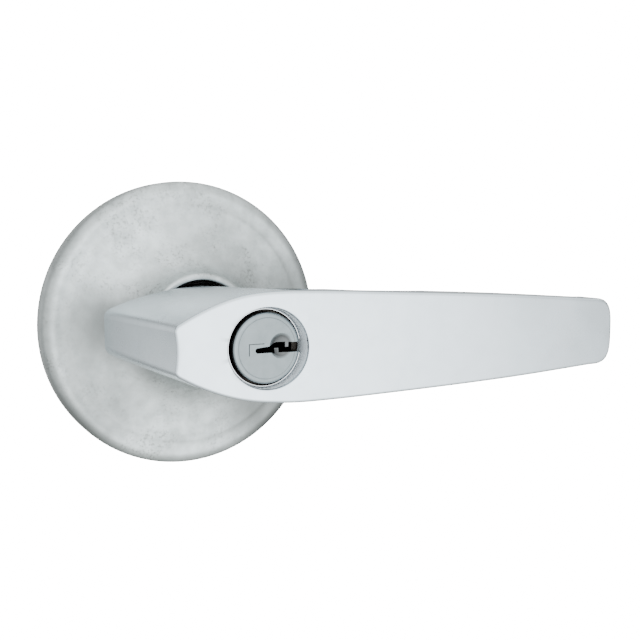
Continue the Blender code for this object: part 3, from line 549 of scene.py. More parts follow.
def make_rose(material):
    rose = turned("rose_dish", rose_outline() + rose_inner_side(), material, steps=256, sharp_angle=50)
    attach(rose, ROOT)
    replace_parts(rose, "rose")


# ---------------------------------------------------------------- lever

SHANK_RADIUS = 9.7
SHANK_BORE = 8.35
SHANK_END = 5.8
SHANK_CHAMFER = 0.4
BOSS_BACK = 18.5
LEVER_TIP = 79.8
TIP_START = 74.0
TIP_POWER = 3.4
TIP_SWEEP = 80
FACE_HEIGHT = 53.2
FACE_SLOPE = 0.145
FACE_BEND_RADIUS = 650.0
BACK_OUTLINE = ((-22.7, 4.4), (-17.0, 6.8), (-10.5, 8.7), (-5.6, 9.55), (-0.8, 9.75), (4.4, 9.5),
                (13.0, 8.4))
FACE_OUTLINE = ((-17.5, 4.5), (-13.1, 6.9), (-8.4, 8.85), (-3.5, 10.1), (2.2, 10.65), (8.6, 10.7),
                (22.0, 10.2), (51.7, 8.8), (74.0, 7.33))
NECK_CURVE = ((13.0, 19.7), (13.6, 34.0), (18.0, 46.0), (36.0, 48.6))
NECK_FACE_END = 36.0
NECK_CORNER = 1.2
NECK_WIDENING = 1.6
BLADE_TIP_BACK = (78.4, 53.6)
BOSS_FACE_END = 15.0
EDGE_ROUNDING = 0.65
FACE_CORNER = 0.9
BACK_CORNER = 1.6
CORNER_DROP = 0.9
LEFT_HOLLOW = 0.35
BOSS_LIFT = 0.8
BOSS_LIFT_AT_FACE = 0.2
BOSS_LIFT_START = -5.0
BOSS_LIFT_LENGTH = 17.7
FACE_RISE = 0.17
FACE_RISE_PLACE = -5.5
FACE_RISE_REACH = 14.0
FACE_BORE = 7.7
BORE_MOUTH_WIDTH = 0.24
BORE_MOUTH_DEPTH = 1.3
SHELL_BORE = 8.3
SHELL_SEAT = 49.4
SHELL_BACK = 28.3
BIBLE_SLOT = ((-15.3, -3.55, 4.0), (-2.0, 3.55, 48.9))
LEVER_SMUDGES = ((75.0, 3.5, 8.0, 0.12), (69.0, -3.0, 6.0, 0.08), (58.0, 7.5, 9.0, 0.10),
                 (80.0, -1.0, 5.0, 0.15))
CORNER_STEPS = 5
BOSS_STEPS = 44
NECK_STEPS = 26
BLADE_STEPS = 26
TIP_STEPS = 16
CROSS_ROWS = 12
WALL_ROWS = 10
ROUNDING_STEPS = 5
EDGE_CROWDING = 1.5
BORE_CROWDING = 1.6


def face_height(x):
    return FACE_HEIGHT + FACE_SLOPE * x - x * x / (2 * FACE_BEND_RADIUS)


def blade_back(x):
    start_x, start_height = NECK_CURVE[-1]
    end_x, end_height = BLADE_TIP_BACK
    return start_height + (end_height - start_height) * (x - start_x) / (end_x - start_x)


def boss_lift(x, height):
    """How far the boss is raised above the spindle: its left end at the back, its middle at the face."""
    along = min(max((BOSS_LIFT_START - x) / BOSS_LIFT_LENGTH, 0), 1)
    forward = (height - BOSS_BACK) / (face_height(FACE_OUTLINE[0][0]) - BOSS_BACK)
    swell = max(0, 1 - ((x - FACE_RISE_PLACE) / FACE_RISE_REACH) ** 2) ** 2
    left_end = BOSS_LIFT * along ** 1.3 * (1 + (BOSS_LIFT_AT_FACE - 1) * forward)
    return left_end + FACE_RISE * swell * forward


def corner_start(outline, reach):
    """The rounded corner where the boss's left end meets its top edge."""
    left, half = outline[0]
    end = (left + reach, smooth_value(outline, left + reach))
    points = []
    for step in range(CORNER_STEPS + 1):
        t = step / CORNER_STEPS
        x = (1 - t) ** 2 * left + 2 * t * (1 - t) * left + t * t * end[0]
        y = (1 - t) ** 2 * (half - reach * CORNER_DROP) + 2 * t * (1 - t) * half + t * t * end[1]
        points.append((x, y))
    return points


def top_edges():
    """Matching points along the face's top edge and along the back's: lists of (x, y, height)."""
    face = [(x, y, face_height(x)) for x, y in corner_start(FACE_OUTLINE, FACE_CORNER)]
    back = [(x, y, BOSS_BACK) for x, y in corner_start(BACK_OUTLINE, BACK_CORNER)]
    start = FACE_OUTLINE[0][0] + FACE_CORNER
    back_start = BACK_OUTLINE[0][0] + BACK_CORNER
    back_end = BACK_OUTLINE[-1][0] - NECK_CORNER
    for step in range(1, BOSS_STEPS + 1):
        t = step / BOSS_STEPS
        x = start + (BOSS_FACE_END - start) * t
        back_x = back_start + (back_end - back_start) * t
        face.append((x, smooth_value(FACE_OUTLINE, x), face_height(x)))
        back.append((back_x, smooth_value(BACK_OUTLINE, back_x), BOSS_BACK))
    boss_last = len(face) - 1
    neck = arc((back_end, BOSS_BACK + NECK_CORNER), NECK_CORNER, NECK_CORNER, -90, 0, 5)[1:]
    neck += bezier(*NECK_CURVE, NECK_STEPS)[1:]
    for step, (back_x, back_height) in enumerate(neck, start=1):
        t = step / len(neck)
        x = BOSS_FACE_END + (NECK_FACE_END - BOSS_FACE_END) * t
        half = smooth_value(FACE_OUTLINE, x)
        face.append((x, half, face_height(x)))
        back_half = BACK_OUTLINE[-1][1] + (half - BACK_OUTLINE[-1][1]) * min(1, NECK_WIDENING * t)
        back.append((back_x, back_half, back_height))
    blade = []
    for step in range(1, BLADE_STEPS + 1):
        x = NECK_FACE_END + (TIP_START - NECK_FACE_END) * step / BLADE_STEPS
        blade.append((x, smooth_value(FACE_OUTLINE, x)))
    for step in range(1, TIP_STEPS + 1):
        angle = math.radians(TIP_SWEEP * step / TIP_STEPS)
        x = TIP_START + (LEVER_TIP - TIP_START) * math.sin(angle) ** (2 / TIP_POWER)
        blade.append((x, FACE_OUTLINE[-1][1] * math.cos(angle) ** (2 / TIP_POWER)))
    for x, half in blade:
        face.append((x, half, face_height(x)))
        back.append((x, half, blade_back(x)))
    return face, back, boss_last


def tip_x(y):
    share = 1 - (abs(y) / FACE_OUTLINE[-1][1]) ** TIP_POWER
    return TIP_START + (LEVER_TIP - TIP_START) * share ** (1 / TIP_POWER)


def cross_places():
    """Places across the lever from its top edge (1) to its bottom edge (-1), closer near the edges."""
    places = []
    for row in range(CROSS_ROWS + 1):
        t = 1 - 2 * row / CROSS_ROWS
        places.append(math.copysign(1 - (1 - abs(t)) ** EDGE_CROWDING, t) if t else 0.0)
    return places


def closed_loop(top, end_height, left_height, hollow):
    """The whole edge: top from left to tip, down the tip, bottom back to the left, and up the left end."""
    places = cross_places()[1:-1]
    end_half = top[-1][1]
    left_x, left_half = top[0][0], top[0][1]
    loop = list(top)
    for place in places:
        x = tip_x(place * end_half)
        loop.append((x, place * end_half, end_height(x)))
    loop += [(x, -y, height) for x, y, height in reversed(top)]
    for place in places:
        loop.append((left_x + hollow * (1 - place * place), -place * left_half, left_height))
    return [(x, y + boss_lift(x, height), height) for x, y, height in loop]


def side_normals(loop):
    """The outward direction of the side wall at each point of a loop, in the x and y plane."""
    normals = []
    count = len(loop)
    for index in range(count):
        before = loop[index - 1]
        after = loop[(index + 1) % count]
        along = Vector((after[0] - before[0], after[1] - before[1], 0)).normalized()
        normals.append(Vector((-along.y, along.x, 0)))
    return normals


def back_normals(back_top):
    """The outward direction of the back surface at each point of the loop."""
    normals = []
    last = len(back_top) - 1
    for index in range(last + 1):
        before = back_top[max(index - 1, 0)]
        after = back_top[min(index + 1, last)]
        along = Vector((after[0] - before[0], 0, after[2] - before[2])).normalized()
        normals.append(Vector((along.z, 0, -along.x)))
    rows = CROSS_ROWS - 1
    return normals + [normals[-1]] * rows + list(reversed(normals)) + [normals[0]] * rows


def rounded_edge(point, side, outward, radius):
    """Points round a convex edge, from the side wall to the face or the back."""
    centre = Vector(point) - (side + outward) * radius
    points = []
    for step in range(ROUNDING_STEPS + 1):
        angle = math.radians(90 * step / ROUNDING_STEPS)
        points.append(centre + (side * math.cos(angle) + outward * math.sin(angle)) * radius)
    return points


def lever_skin():
    """Columns of points from the face's edge, down the side wall, to the back's edge, all round the lever.

    With them come the number of columns along the top edge and the last of those on the boss.
    """
    face_top, back_top, boss_last = top_edges()
    face = closed_loop(face_top, face_height, face_height(face_top[0][0]), LEFT_HOLLOW)
    back = closed_loop(back_top, blade_back, BOSS_BACK, 0)
    face_side = side_normals(face)
    back_side = side_normals(back)
    back_out = back_normals(back_top)
    columns = []
    for index, point in enumerate(face):
        slope = FACE_SLOPE - point[0] / FACE_BEND_RADIUS
        outward = Vector((-slope, 0, 1)).normalized()
        along_face = face_side[index] + Vector((0, 0, slope * face_side[index].x))
        front_part = rounded_edge(point, along_face, outward, EDGE_ROUNDING)
        back_part = rounded_edge(back[index], back_side[index], back_out[index], EDGE_ROUNDING)
        wall = []
        for row in range(1, WALL_ROWS):
            wall.append(front_part[0].lerp(back_part[0], row / WALL_ROWS))
        columns.append(list(reversed(front_part)) + wall + back_part)
    return columns, len(face_top), boss_last


def grid_faces(rows):
    """Quads between neighbouring rows of point numbers."""
    faces = []
    for first, second in zip(rows, rows[1:]):
        for left in range(len(first) - 1):
            faces.append([first[left], first[left + 1], second[left + 1], second[left]])
    return faces


class Skin:
    """Collects points and faces of one mesh; the making of the object welds shared points."""

    def __init__(self):
        self.points = []
        self.faces = []

    def grid(self, rows):
        numbered = []
        for row in rows:
            first = len(self.points)
            self.points += [world(*point) for point in row]
            numbered.append(range(first, len(self.points)))
        self.faces += grid_faces(numbered)


def ring_rows(edge, directions, radius, height_at, rows=7):
    """Rows of points from each point of the boss's edge in to a circle round the spindle's axis."""
    grid = []
    for point, direction in zip(edge + edge[:1], directions + directions[:1]):
        outer = Vector((point[0], point[1]))
        inner = direction * radius
        spots = [outer.lerp(inner, (step / rows) ** BORE_CROWDING) for step in range(1, rows + 1)]
        grid.append([point] + [(spot.x, spot.y, height_at(spot.x)) for spot in spots])
    return grid


def bore_rows(directions):
    """Rows of points from the bore's mouth in the face, through to the shank's end and up its outside."""
    mouth = (FACE_BORE + BORE_MOUTH_WIDTH, -BORE_MOUTH_DEPTH)
    rounding = arc(mouth, BORE_MOUTH_WIDTH, BORE_MOUTH_DEPTH, 90, 180, 9)
    inner_side = [(FACE_BORE, SHELL_SEAT), (SHELL_BORE, SHELL_SEAT), (SHELL_BORE, SHELL_BACK),
                  (SHANK_BORE, SHELL_BACK), (SHANK_BORE, SHANK_END),
                  (SHANK_RADIUS - SHANK_CHAMFER, SHANK_END),
                  (SHANK_RADIUS, SHANK_END + SHANK_CHAMFER), (SHANK_RADIUS, BOSS_BACK)]
    rows = []
    for direction in directions + directions[:1]:
        row = []
        for radius, depth in rounding:
            x = direction.x * radius
            row.append((x, direction.y * radius, face_height(x) + depth))
        row += [(direction.x * radius, direction.y * radius, height) for radius, height in inner_side]
        rows.append(row)
    return rows


def lever_surface():
    """The whole closed surface of the lever, before its slot and its hole are cut."""
    columns, top_count, boss_last = lever_skin()
    skin = Skin()
    skin.grid(columns + columns[:1])

    face_edge = [column[0] for column in columns]
    back_edge = [column[-1] for column in columns]
    tip_end = top_count + CROSS_ROWS - 1
    boss_bottom = tip_end + top_count - 1 - boss_last

    def across(point):
        return [(point.x, place * point.y, point.z) for place in cross_places()]

    def blade_rows(edge):
        rows = [across(point) for point in edge[boss_last:top_count - 1]]
        return rows + [edge[top_count - 1:tip_end + 1]]

    def boss_loop(edge):
        return edge[:boss_last + 1] + across(edge[boss_last])[1:-1] + edge[boss_bottom:]

    skin.grid(blade_rows(face_edge))
    skin.grid(blade_rows(back_edge))
    front_loop = boss_loop(face_edge)
    back_loop = boss_loop(back_edge)
    directions = [Vector((point[0], point[1])).normalized() for point in front_loop]
    skin.grid(ring_rows(front_loop, directions, FACE_BORE + BORE_MOUTH_WIDTH, face_height))
    skin.grid(ring_rows(back_loop, directions, SHANK_RADIUS, lambda x: BOSS_BACK))
    skin.grid(bore_rows(directions))
    return skin


def make_lever(material):
    """The lever, with the slot for the cylinder's pins and springs and the hole for its catch."""
    skin = lever_surface()
    lever = make_object("lever_blade", skin.points, skin.faces, material, sharp_angle=38)
    slot = block("bible_slot", *BIBLE_SLOT)
    low, high = CATCH_HOLE_SPAN
    hole = peg("catch_hole", CATCH_HOLE, (0, low, CATCH_HEIGHT), (0, high, CATCH_HEIGHT))
    carve(lever, [slot, hole], sharp_angle=38)
    even_normals(lever)
    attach(lever, LEVER)
    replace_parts(lever, "lever")


# ---------------------------------------------------------------- key cylinder

PLUG_FACE = 52.4
PLUG_FLANGE = 6.85
PLUG_FLANGE_BACK = 49.9
PLUG_RADIUS = 6.2
PLUG_TAIL = 5.5
PLUG_SHELL_BACK = 28.6
PLUG_END = 24.5
PLUG_RIM = (0.6, 0.55)   # width, depth
PLUG_RING_LINE = ((5.74, 0), (5.78, -0.05), (5.84, -0.05), (5.9, 0))   # radius, depth
CLIP_GROOVE = (4.9, 27.25, 28.35)   # radius, back, front
KEYWAY = ((7.5, -1.0), (2.5, -1.0), (2.5, -0.1), (1.65, -0.1), (1.65, -1.1), (1.15, -1.1), (1.1, -0.88),
          (-2.0, -0.88), (-2.35, -0.65), (-2.45, -0.35), (-2.35, -0.05), (-2.05, 0.12), (0.3, 0.32),
          (1.2, 0.75), (2.1, 1.05), (3.9, 1.0), (3.9, 0.02), (4.55, 0.02), (4.55, 0.95), (7.5, 0.95))
KEYWAY_BACK = 29.0
COUNTERSINK_CENTRE = (2.95, 0.33)
COUNTERSINK = ((2.45, -0.01), (2.3, -0.07), (1.9, -0.3), (1.5, -0.5), (0, -0.56))   # radius, depth
FACE_LINES = ((-3.74, -1.3, -3.58, 0.91), (-3.74, 0.83, -0.6, 0.99))   # left, low, right, high
FACE_LINE_DEPTH = 0.3
PIN_HEIGHTS = (46.1, 42.3, 38.5, 34.7, 30.9)
CHAMBER_RADIUS = 1.5
CHAMBER_SPAN = (-8.0, 1.0)   # left, right
TAIL_SLOT = (0.85, 7.0, 27.1)   # half thickness, half width, front
TRIM_RING_RADIUS = 7.4
TRIM_RING_THICKNESS = 0.5
TRIM_RING_BACK = 49.9
TRIM_RING_FRONT = 51.2
TRIM_RING_HALF_GAP = 1.35


def plug_outline():
    groove_radius, groove_back, groove_front = CLIP_GROOVE
    ring_line = [(radius, PLUG_FACE + depth) for radius, depth in PLUG_RING_LINE]
    width, depth = PLUG_RIM
    rim = arc((PLUG_FLANGE - width, PLUG_FACE - depth), width, depth, 90, 0, 10)
    side = [(PLUG_FLANGE, PLUG_FLANGE_BACK), (PLUG_RADIUS, PLUG_FLANGE_BACK),
            (PLUG_RADIUS, PLUG_SHELL_BACK), (PLUG_TAIL, PLUG_SHELL_BACK),
            (PLUG_TAIL, groove_front), (groove_radius, groove_front),
            (groove_radius, groove_back), (PLUG_TAIL, groove_back), (PLUG_TAIL, PLUG_END), (0, PLUG_END)]
    return [(0, PLUG_FACE)] + ring_line + rim + side


def make_plug(material):
    plug = turned("key_cylinder_plug", plug_outline(), material, sharp_angle=35)
    in_front = PLUG_FACE + 1
    sink = [(0, in_front), (COUNTERSINK[0][0], in_front)]
    sink += [(radius, PLUG_FACE + depth) for radius, depth in COUNTERSINK]
    tools = [turned("countersink_tool", sink, None, steps=96, centre=COUNTERSINK_CENTRE),
             slab("keyway_tool", KEYWAY, KEYWAY_BACK, in_front)]
    line_floor = PLUG_FACE - FACE_LINE_DEPTH
    for left, low, right, high in FACE_LINES:
        tools.append(block("face_line_tool", (left, low, line_floor), (right, high, in_front)))
    left, right = CHAMBER_SPAN
    for height in PIN_HEIGHTS:
        tools.append(peg("chamber_tool", CHAMBER_RADIUS, (left, 0, height), (right, 0, height)))
    half_thick, half_width, front = TAIL_SLOT
    slot_corner = (-half_thick, -half_width, PLUG_END - 1)
    tools.append(block("tail_slot_tool", slot_corner, (half_thick, half_width, front)))
    carve(plug, tools, sharp_angle=35)
    even_normals(plug)
    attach(plug, KEY)
    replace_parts(plug, "plug")


def make_trim_ring(material):
    """The split ring round the plug, with rounded edges and its gap on the right."""
    half_thick = TRIM_RING_THICKNESS / 2
    half_depth = (TRIM_RING_FRONT - TRIM_RING_BACK) / 2
    middle = TRIM_RING_BACK + half_depth
    start = math.degrees(math.asin(TRIM_RING_HALF_GAP / TRIM_RING_RADIUS))
    path = arc((0, 0), TRIM_RING_RADIUS, TRIM_RING_RADIUS, start, 360 - start, 150)
    section = arc((0, half_depth - half_thick), half_thick, half_thick, 0, 180, 8)
    section += arc((0, half_thick - half_depth), half_thick, half_thick, 180, 360, 8)
    first = Vector((path[0][0], path[0][1], 0)).normalized()
    points = [Vector((x, y, middle)) for x, y in path]
    ring = swept("cylinder_trim_ring", points, section, material, aside=first)
    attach(ring, LEVER)
    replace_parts(ring, "trim_ring")


# ---------------------------------------------------------------- plate, cage and posts behind the rose

PLATE_RADIUS = 31.8
PLATE_THICKNESS = 1.6
PLATE_LIP_HEIGHT = 2.8
PLATE_LIP_WALL = 1.2
PLATE_HOLE = 10.2
PLATE_LIP_ROUNDING = 0.25
PLATE_BACK_ROUNDING = 0.5
HOLE_CHAMFER = 0.2
POST_PLACE = 20.65
POST_RADIUS = 3.25
POST_BORE = 1.75
POST_LENGTH = 22.0
POST_NECK = 2.2
POST_HEAD = 3.6
POST_HEAD_FOOT = 1.9
POST_HEAD_TOP = 2.9
POST_BORE_END = -4.0
POST_THREAD_PITCH = 0.8
POST_THREAD_DEPTH = 0.25
POST_MOUTH = 0.4
POST_ROUNDING = 0.5
POST_DRILL_POINT = 1.0
RIVET_PLACE = 14.496
RIVET_SHANK = 1.2
RIVET_HEAD = 2.2
RIVET_DOME = 0.8
RIVET_FRONT = 1.9
RIVET_BACK = -1.8
CLEARANCE = 0.3
DRILL_BACK = -3.0
DRILL_FRONT = 4.0
CAGE_FLANGE_RADIUS = 25.5
CAGE_WALL = 1.2
CAGE_RADIUS = 16.8
CAGE_DEPTH = 10.4
CAGE_HOLE = 8.6
CAGE_RIM_ROUNDING = 1.8
CAGE_EDGE_ROUNDING = 0.2
CAGE_FLANGE_CORNER = 0.8
STOP_INNER = 14.7
STOP_ANGLE = 69
STOP_HALF_WIDTH = 5.9
STOP_FRONT = -6.0
SPRING_NOTCH = (0.1, 2.3, -2.4)   # left, right, back


def rivet_places():
    return [(x * RIVET_PLACE, y * RIVET_PLACE) for x, y in ((1, 1), (-1, 1), (-1, -1), (1, -1))]


def drills(radius, places):
    return [peg("drill", radius, (x, y, DRILL_BACK), (x, y, DRILL_FRONT)) for x, y in places]


def post_and_rivet_drills(post_hole):
    posts = drills(post_hole, ((-POST_PLACE, 0), (POST_PLACE, 0)))
    return posts + drills(RIVET_SHANK + CLEARANCE, rivet_places())


def make_mounting_plate(material):
    inside = PLATE_RADIUS - PLATE_LIP_WALL
    lip, back = PLATE_LIP_ROUNDING, PLATE_BACK_ROUNDING
    outline = [(inside, PLATE_LIP_HEIGHT)]
    outline += arc((PLATE_RADIUS - lip, PLATE_LIP_HEIGHT - lip), lip, lip, 90, 0, 4)
    outline += arc((PLATE_RADIUS - back, back), back, back, 0, -90, 6)
    outline += [(PLATE_HOLE + HOLE_CHAMFER, 0), (PLATE_HOLE, HOLE_CHAMFER)]
    outline += [(PLATE_HOLE, PLATE_THICKNESS), (inside, PLATE_THICKNESS)]
    plate = turned("rose_mounting_plate", outline, material)
    carve(plate, post_and_rivet_drills(POST_NECK + CLEARANCE))
    even_normals(plate)
    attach(plate, ROOT)
    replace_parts(plate, "mounting_plate")


def stop_block(angle):
    """A stop that the drive disc's lug meets at the end of the lever's turn."""
    start = angle - STOP_HALF_WIDTH
    end = angle + STOP_HALF_WIDTH
    outer = CAGE_RADIUS - CAGE_WALL / 2
    outline = arc((0, 0), outer, outer, start, end, 8) + arc((0, 0), STOP_INNER, STOP_INNER, end, start, 8)
    return slab("drive_stop", outline, CAGE_WALL / 2 - CAGE_DEPTH, STOP_FRONT)


def make_spring_cage(material):
    """The drawn steel cup round the return spring, with its flange on the mounting plate."""
    wall = CAGE_WALL
    inside = CAGE_RADIUS - wall
    back = -CLEARANCE - wall
    edge, turn, rim = CAGE_EDGE_ROUNDING, CAGE_FLANGE_CORNER, CAGE_RIM_ROUNDING
    corner = rim - wall
    outline = [(inside, -CLEARANCE)]
    outline += arc((CAGE_FLANGE_RADIUS - edge, -CLEARANCE - edge), edge, edge, 90, 0, 3)
    outline += arc((CAGE_FLANGE_RADIUS - edge, back + edge), edge, edge, 0, -90, 3)
    outline += arc((CAGE_RADIUS + turn, back - turn), turn, turn, 90, 180, 6)
    outline += arc((CAGE_RADIUS - rim, rim - CAGE_DEPTH), rim, rim, 0, -90, 10)
    outline += [(CAGE_HOLE + HOLE_CHAMFER, -CAGE_DEPTH), (CAGE_HOLE, HOLE_CHAMFER - CAGE_DEPTH)]
    outline += [(CAGE_HOLE, wall - CAGE_DEPTH)]
    outline += arc((inside - corner, wall - CAGE_DEPTH + corner), corner, corner, -90, 0, 5)
    cage = turned("return_spring_cage", outline, material)
    left, right, notch_back = SPRING_NOTCH
    notch = block("spring_leg_notch", (left, STOP_INNER, notch_back), (right, CAGE_RADIUS + 0.4, 1.0))
    stops = [stop_block(side * STOP_ANGLE - 90) for side in (-1, 1)]
    carve(cage, post_and_rivet_drills(POST_RADIUS + CLEARANCE) + [notch], added=stops)
    even_normals(cage)
    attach(cage, ROOT)
    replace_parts(cage, "spring_cage")


def make_post(name, side, material):
    """A post that takes a through screw of the inside trim in its threaded bore."""
    turn = POST_ROUNDING
    outline = [(0, POST_HEAD_TOP)] + arc((POST_HEAD - turn, POST_HEAD_TOP - turn), turn, turn, 90, 0, 6)
    outline += [(POST_HEAD, POST_HEAD_FOOT), (POST_NECK, POST_HEAD_FOOT), (POST_NECK, -CLEARANCE),
                (POST_RADIUS, -CLEARANCE)]
    outline += arc((POST_RADIUS - turn, turn - POST_LENGTH), turn, turn, 0, -90, 6)
    outline += [(POST_BORE + POST_MOUTH, -POST_LENGTH)]
    height = POST_MOUTH - POST_LENGTH
    while height < POST_BORE_END - POST_THREAD_PITCH:
        outline += [(POST_BORE, height), (POST_BORE + POST_THREAD_DEPTH, height + POST_THREAD_PITCH / 2)]
        height += POST_THREAD_PITCH
    outline += [(POST_BORE, POST_BORE_END), (0, POST_BORE_END + POST_DRILL_POINT)]
    post = turned(name, outline, material, steps=72, centre=(side * POST_PLACE, 0))
    even_normals(post)
    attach(post, ROOT)
    return post


def make_rivet(number, x, y, material):
    outline = [(0, RIVET_FRONT + RIVET_DOME)] + arc((0, RIVET_FRONT), RIVET_HEAD, RIVET_DOME, 80, 0, 9)
    outline += [(RIVET_SHANK, RIVET_FRONT), (RIVET_SHANK, RIVET_BACK)]
    outline += arc((0, RIVET_BACK), RIVET_HEAD, RIVET_DOME, 0, -80, 9) + [(0, RIVET_BACK - RIVET_DOME)]
    rivet = turned(f"cage_rivet_head_{number}", outline, material, steps=48, centre=(x, y))
    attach(rivet, ROOT)
    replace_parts(rivet, f"cage_rivet_{number}")


# ---------------------------------------------------------------- springs

SPRING_WIRE = 0.8
SPRING_RADIUS = 12.6
SPRING_PITCH = 1.8
SPRING_TURNS = 2.25
SPRING_FRONT = -1.3
SPRING_BEND = 1.2
SPRING_FRONT_LEG = 16.3
SPRING_BACK_LEG = -7.8
PIN_SPRING_FOOT = -10.5
PIN_SPRING_TOP = -13.9
PIN_SPRING_RADIUS = 1.0
PIN_SPRING_WIRE = 0.15
PIN_SPRING_TURNS = 5
LEAF_OUTER = 6.2
LEAF_INNER = 5.8
LEAF_LOW = -4.6
LEAF_HIGH = -4.2
LEAF_HALF_WIDTH = 1.5
LEAF_POINTS = 9
LEAF_STEP = 0.7
LEAF_RIGHT = 3.0
LEAF_LEFT = -2.6
CATCH_HEIGHT = 21.5
CATCH_HOLE = 1.85
CATCH_HOLE_SPAN = (-12.0, -4.0)   # low, high


def make_return_spring(material):
    """The torsion spring, hooked into the cage in front and into the drive disc behind."""
    turn_points = 48
    start = Vector((0, SPRING_RADIUS, SPRING_FRONT))
    bend_centre = start + Vector((0, SPRING_BEND, 0))
    points = [Vector((SPRING_BEND, SPRING_FRONT_LEG, SPRING_FRONT))]
    for x, y in arc(bend_centre, SPRING_BEND, SPRING_BEND, 0, -90, 8)[:-1]:
        points.append(Vector((x, y, SPRING_FRONT)))
    for step in range(round(SPRING_TURNS * turn_points) + 1):
        angle = math.radians(90) + 2 * math.pi * step / turn_points
        height = SPRING_FRONT - SPRING_PITCH * step / turn_points
        points.append(Vector((SPRING_RADIUS * math.cos(angle), SPRING_RADIUS * math.sin(angle), height)))
    end = points[-1]
    forward = Vector((-end.y, end.x, 0)).normalized()
    for ahead, down in arc((0, -SPRING_BEND), SPRING_BEND, SPRING_BEND, 90, 0, 8)[1:]:
        points.append(end + forward * ahead + Vector((0, 0, down)))
    tip = points[-1]
    points.append(Vector((tip.x, tip.y, SPRING_BACK_LEG)))
    spring = wire("lever_return_spring", points, SPRING_WIRE, material)
    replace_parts(spring, "return_spring")
    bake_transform(spring)


def make_catch_spring(material):
    """A leaf round the inside of the drive tube, with its free end across the catch's head."""
    outer_end = math.degrees(math.asin(LEAF_LOW / LEAF_OUTER))
    inner_end = math.degrees(math.asin(LEAF_HIGH / LEAF_INNER))
    outline = arc((0, 0), LEAF_OUTER, LEAF_OUTER, 170, outer_end, 48)
    outline += [(LEAF_RIGHT - LEAF_STEP * step, LEAF_LOW) for step in range(LEAF_POINTS)]
    outline += [(LEAF_LEFT + LEAF_STEP * step, LEAF_HIGH) for step in range(LEAF_POINTS)]
    outline += arc((0, 0), LEAF_INNER, LEAF_INNER, inner_end, 170, 48)
    back = CATCH_HEIGHT - LEAF_HALF_WIDTH
    leaf = slab("catch_leaf_spring", outline, back, CATCH_HEIGHT + LEAF_HALF_WIDTH, material)
    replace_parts(leaf, "catch_spring")
    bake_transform(leaf)


def make_pin_spring(number, height, material):
    turn_points = 20
    count = PIN_SPRING_TURNS * turn_points
    points = []
    for step in range(count + 1):
        angle = 2 * math.pi * step / turn_points
        x = PIN_SPRING_FOOT + (PIN_SPRING_TOP - PIN_SPRING_FOOT) * step / count
        y = PIN_SPRING_RADIUS * math.cos(angle)
        points.append(Vector((x, y, height + PIN_SPRING_RADIUS * math.sin(angle))))
    spring = wire(f"pin_coil_{number}", points, PIN_SPRING_WIRE, material, sides=8)
    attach(spring, LEVER)
    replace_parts(spring, f"pin_spring_{number}")
    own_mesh(spring)


# ---------------------------------------------------------------- camera, light and floor

CAMERA_PLACE = (-0.0664, -0.2048, 0.0227)
CAMERA_DIP = 5.96     # degrees below level
CAMERA_TURN = 26.96   # degrees to the right of straight on


def make_camera():
    camera = bpy.data.objects.new("camera", bpy.data.cameras.new("camera"))
    bpy.context.scene.collection.objects.link(camera)
    camera.data.lens = 50
    camera.data.sensor_width = 36
    camera.data.clip_start = 0.01
    camera.location = CAMERA_PLACE
    camera.rotation_euler = (math.radians(90 - CAMERA_DIP), 0, math.radians(-CAMERA_TURN))
    bpy.context.scene.camera = camera


# Each soft light of the studio: its direction, where its glow starts and peaks (as cosines), its falloff,
# its strength and its colour.
STUDIO_LIGHTS = (
    ((-0.05, -0.99, -0.08), 0.60, 1.0, 1.4, 3.2, (0.92, 0.97, 1.0)),
    ((0.02, -0.38, 0.92), 0.40, 1.0, 1.0, 1.85, (0.94, 0.985, 1.0)),
    ((0.30, 0.55, 0.78), 0.75, 1.0, 1.0, 0.40, (0.94, 0.985, 1.0)),
    ((0.30, 0.92, 0.15), 0.60, 1.0, 1.0, 0.20, (0.94, 0.985, 1.0)),
    ((-0.62, 0.78, 0.05), 0.88, 1.0, 0.8, 0.60, (0.94, 0.985, 1.0)),
    ((-0.91, -0.35, -0.05), 0.70, 1.0, 1.0, 1.15, (0.94, 0.985, 1.0)),
    ((0.80, -0.58, 0.15), 0.60, 1.0, 1.0, 0.15, (0.96, 1.0, 0.99)),
    ((0.15, -0.60, -0.78), 0.45, 1.0, 1.0, 0.90, (0.95, 1.0, 0.99)),
)
STUDIO_DIM = 0.42
STUDIO_DIM_COLOUR = (0.95, 1.0, 0.985)


def make_world():
    """Soft studio surroundings: brightest in front and overhead, dimmer beside and behind the lockset."""
    studio = bpy.data.worlds.new("studio")
    bpy.context.scene.world = studio
    nodes = Nodes(studio)
    direction = nodes.node("ShaderNodeTexCoord").outputs["Generated"]
    dim = nodes.tree.nodes["Background"]
    dim.inputs["Color"].default_value = (*STUDIO_DIM_COLOUR, 1)
    dim.inputs["Strength"].default_value = STUDIO_DIM
    total = dim.outputs[0]
    for aim_at, start, peak, falloff, strength, colour in STUDIO_LIGHTS:
        dot = nodes.node("ShaderNodeVectorMath", operation="DOT_PRODUCT")
        nodes.link(direction, dot.inputs[0])
        dot.inputs[1].default_value = Vector(aim_at).normalized()
        glow = nodes.between(dot.outputs["Value"], 0, 1, start, peak)
        light = nodes.node("ShaderNodeBackground")
        light.inputs["Color"].default_value = (*colour, 1)
        level = nodes.math("MULTIPLY", nodes.math("POWER", glow, falloff), strength)
        nodes.link(level, light.inputs["Strength"])
        adder = nodes.node("ShaderNodeAddShader")
        nodes.link(total, adder.inputs[0])
        nodes.link(light.outputs[0], adder.inputs[1])
        total = adder.outputs[0]
    nodes.link(total, nodes.tree.nodes["World Output"].inputs["Surface"])


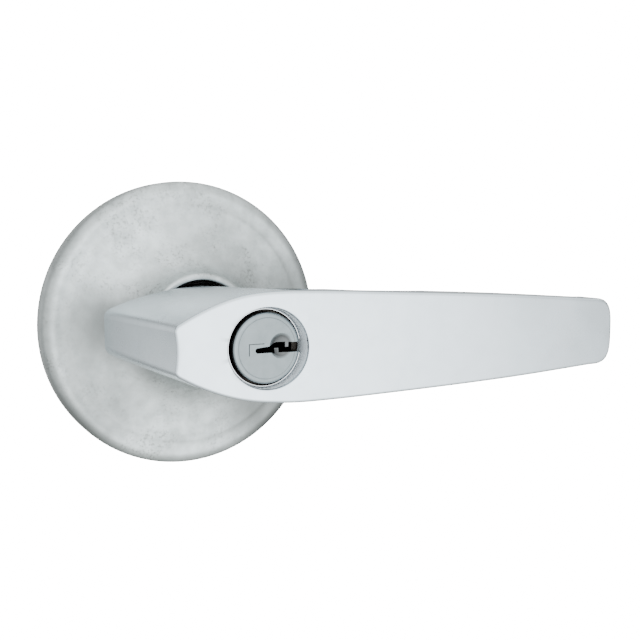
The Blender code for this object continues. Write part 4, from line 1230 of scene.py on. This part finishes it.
# The floor, in metres.
FLOOR_LEVEL = -0.35
FLOOR_FLAT_RADIUS = 1.3
FLOOR_CURVE = 0.7
FLOOR_TOP = 2.6
FLOOR_STEPS = 64


def make_floor():
    """A white floor that curves up all round into a backdrop."""
    curve_centre = (FLOOR_FLAT_RADIUS, FLOOR_LEVEL + FLOOR_CURVE)
    profile = [(0.0, FLOOR_LEVEL)] + arc(curve_centre, FLOOR_CURVE, FLOOR_CURVE, -90, 0, 12)
    profile.append((FLOOR_FLAT_RADIUS + FLOOR_CURVE, FLOOR_TOP))
    points = []
    rings = []
    for distance, z in profile:
        first = len(points)
        points += [Vector((x, y, z)) for x, y in circle(distance, FLOOR_STEPS)]
        rings.append([first + step % FLOOR_STEPS for step in range(FLOOR_STEPS + 1)])
    floor = make_object("floor", points, grid_faces(rings), white_stage())
    floor.visible_glossy = False
    floor.visible_diffuse = False


def paint(material, *names):
    for name in names:
        slots = NODES[name].material_slots
        if slots:
            slots[0].material = material
        else:
            NODES[name].data.materials.append(material)


def main():
    steel = plated_steel()
    brass = machined_brass()
    sprung = spring_wire()
    nylon = black_nylon()
    chrome = bright_chrome()
    nickel = nickel_face()

    make_rose(rose_satin())
    make_lever(lever_satin())
    make_plug(nickel)
    make_trim_ring(chrome)
    make_mounting_plate(steel)
    make_spring_cage(steel)
    for name, side in (("left", -1), ("right", 1)):
        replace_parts(make_post(f"through_screw_post_{name}", side, steel), f"threaded_post_{name}")
    for number, (x, y) in enumerate(rivet_places(), start=1):
        make_rivet(number, x, y, steel)
    make_return_spring(sprung)
    make_catch_spring(sprung)
    for number, height in enumerate(PIN_HEIGHTS, start=1):
        make_pin_spring(number, height, sprung)

    pins = [f"{kind}_pin_{i}" for kind in ("driver", "bottom") for i in range(1, 6)]
    paint(steel, "drive_tube", "drive_disc", "spindle", "catch_stud", "tailpiece")
    paint(sprung, "snap_ring", "plug_clip")
    paint(brass, "bible_cap", *pins)
    paint(shaded_nickel(), "cylinder_shell")
    paint(nylon, "bearing_bush", "thrust_washer")

    make_camera()
    make_world()
    make_floor()


main()
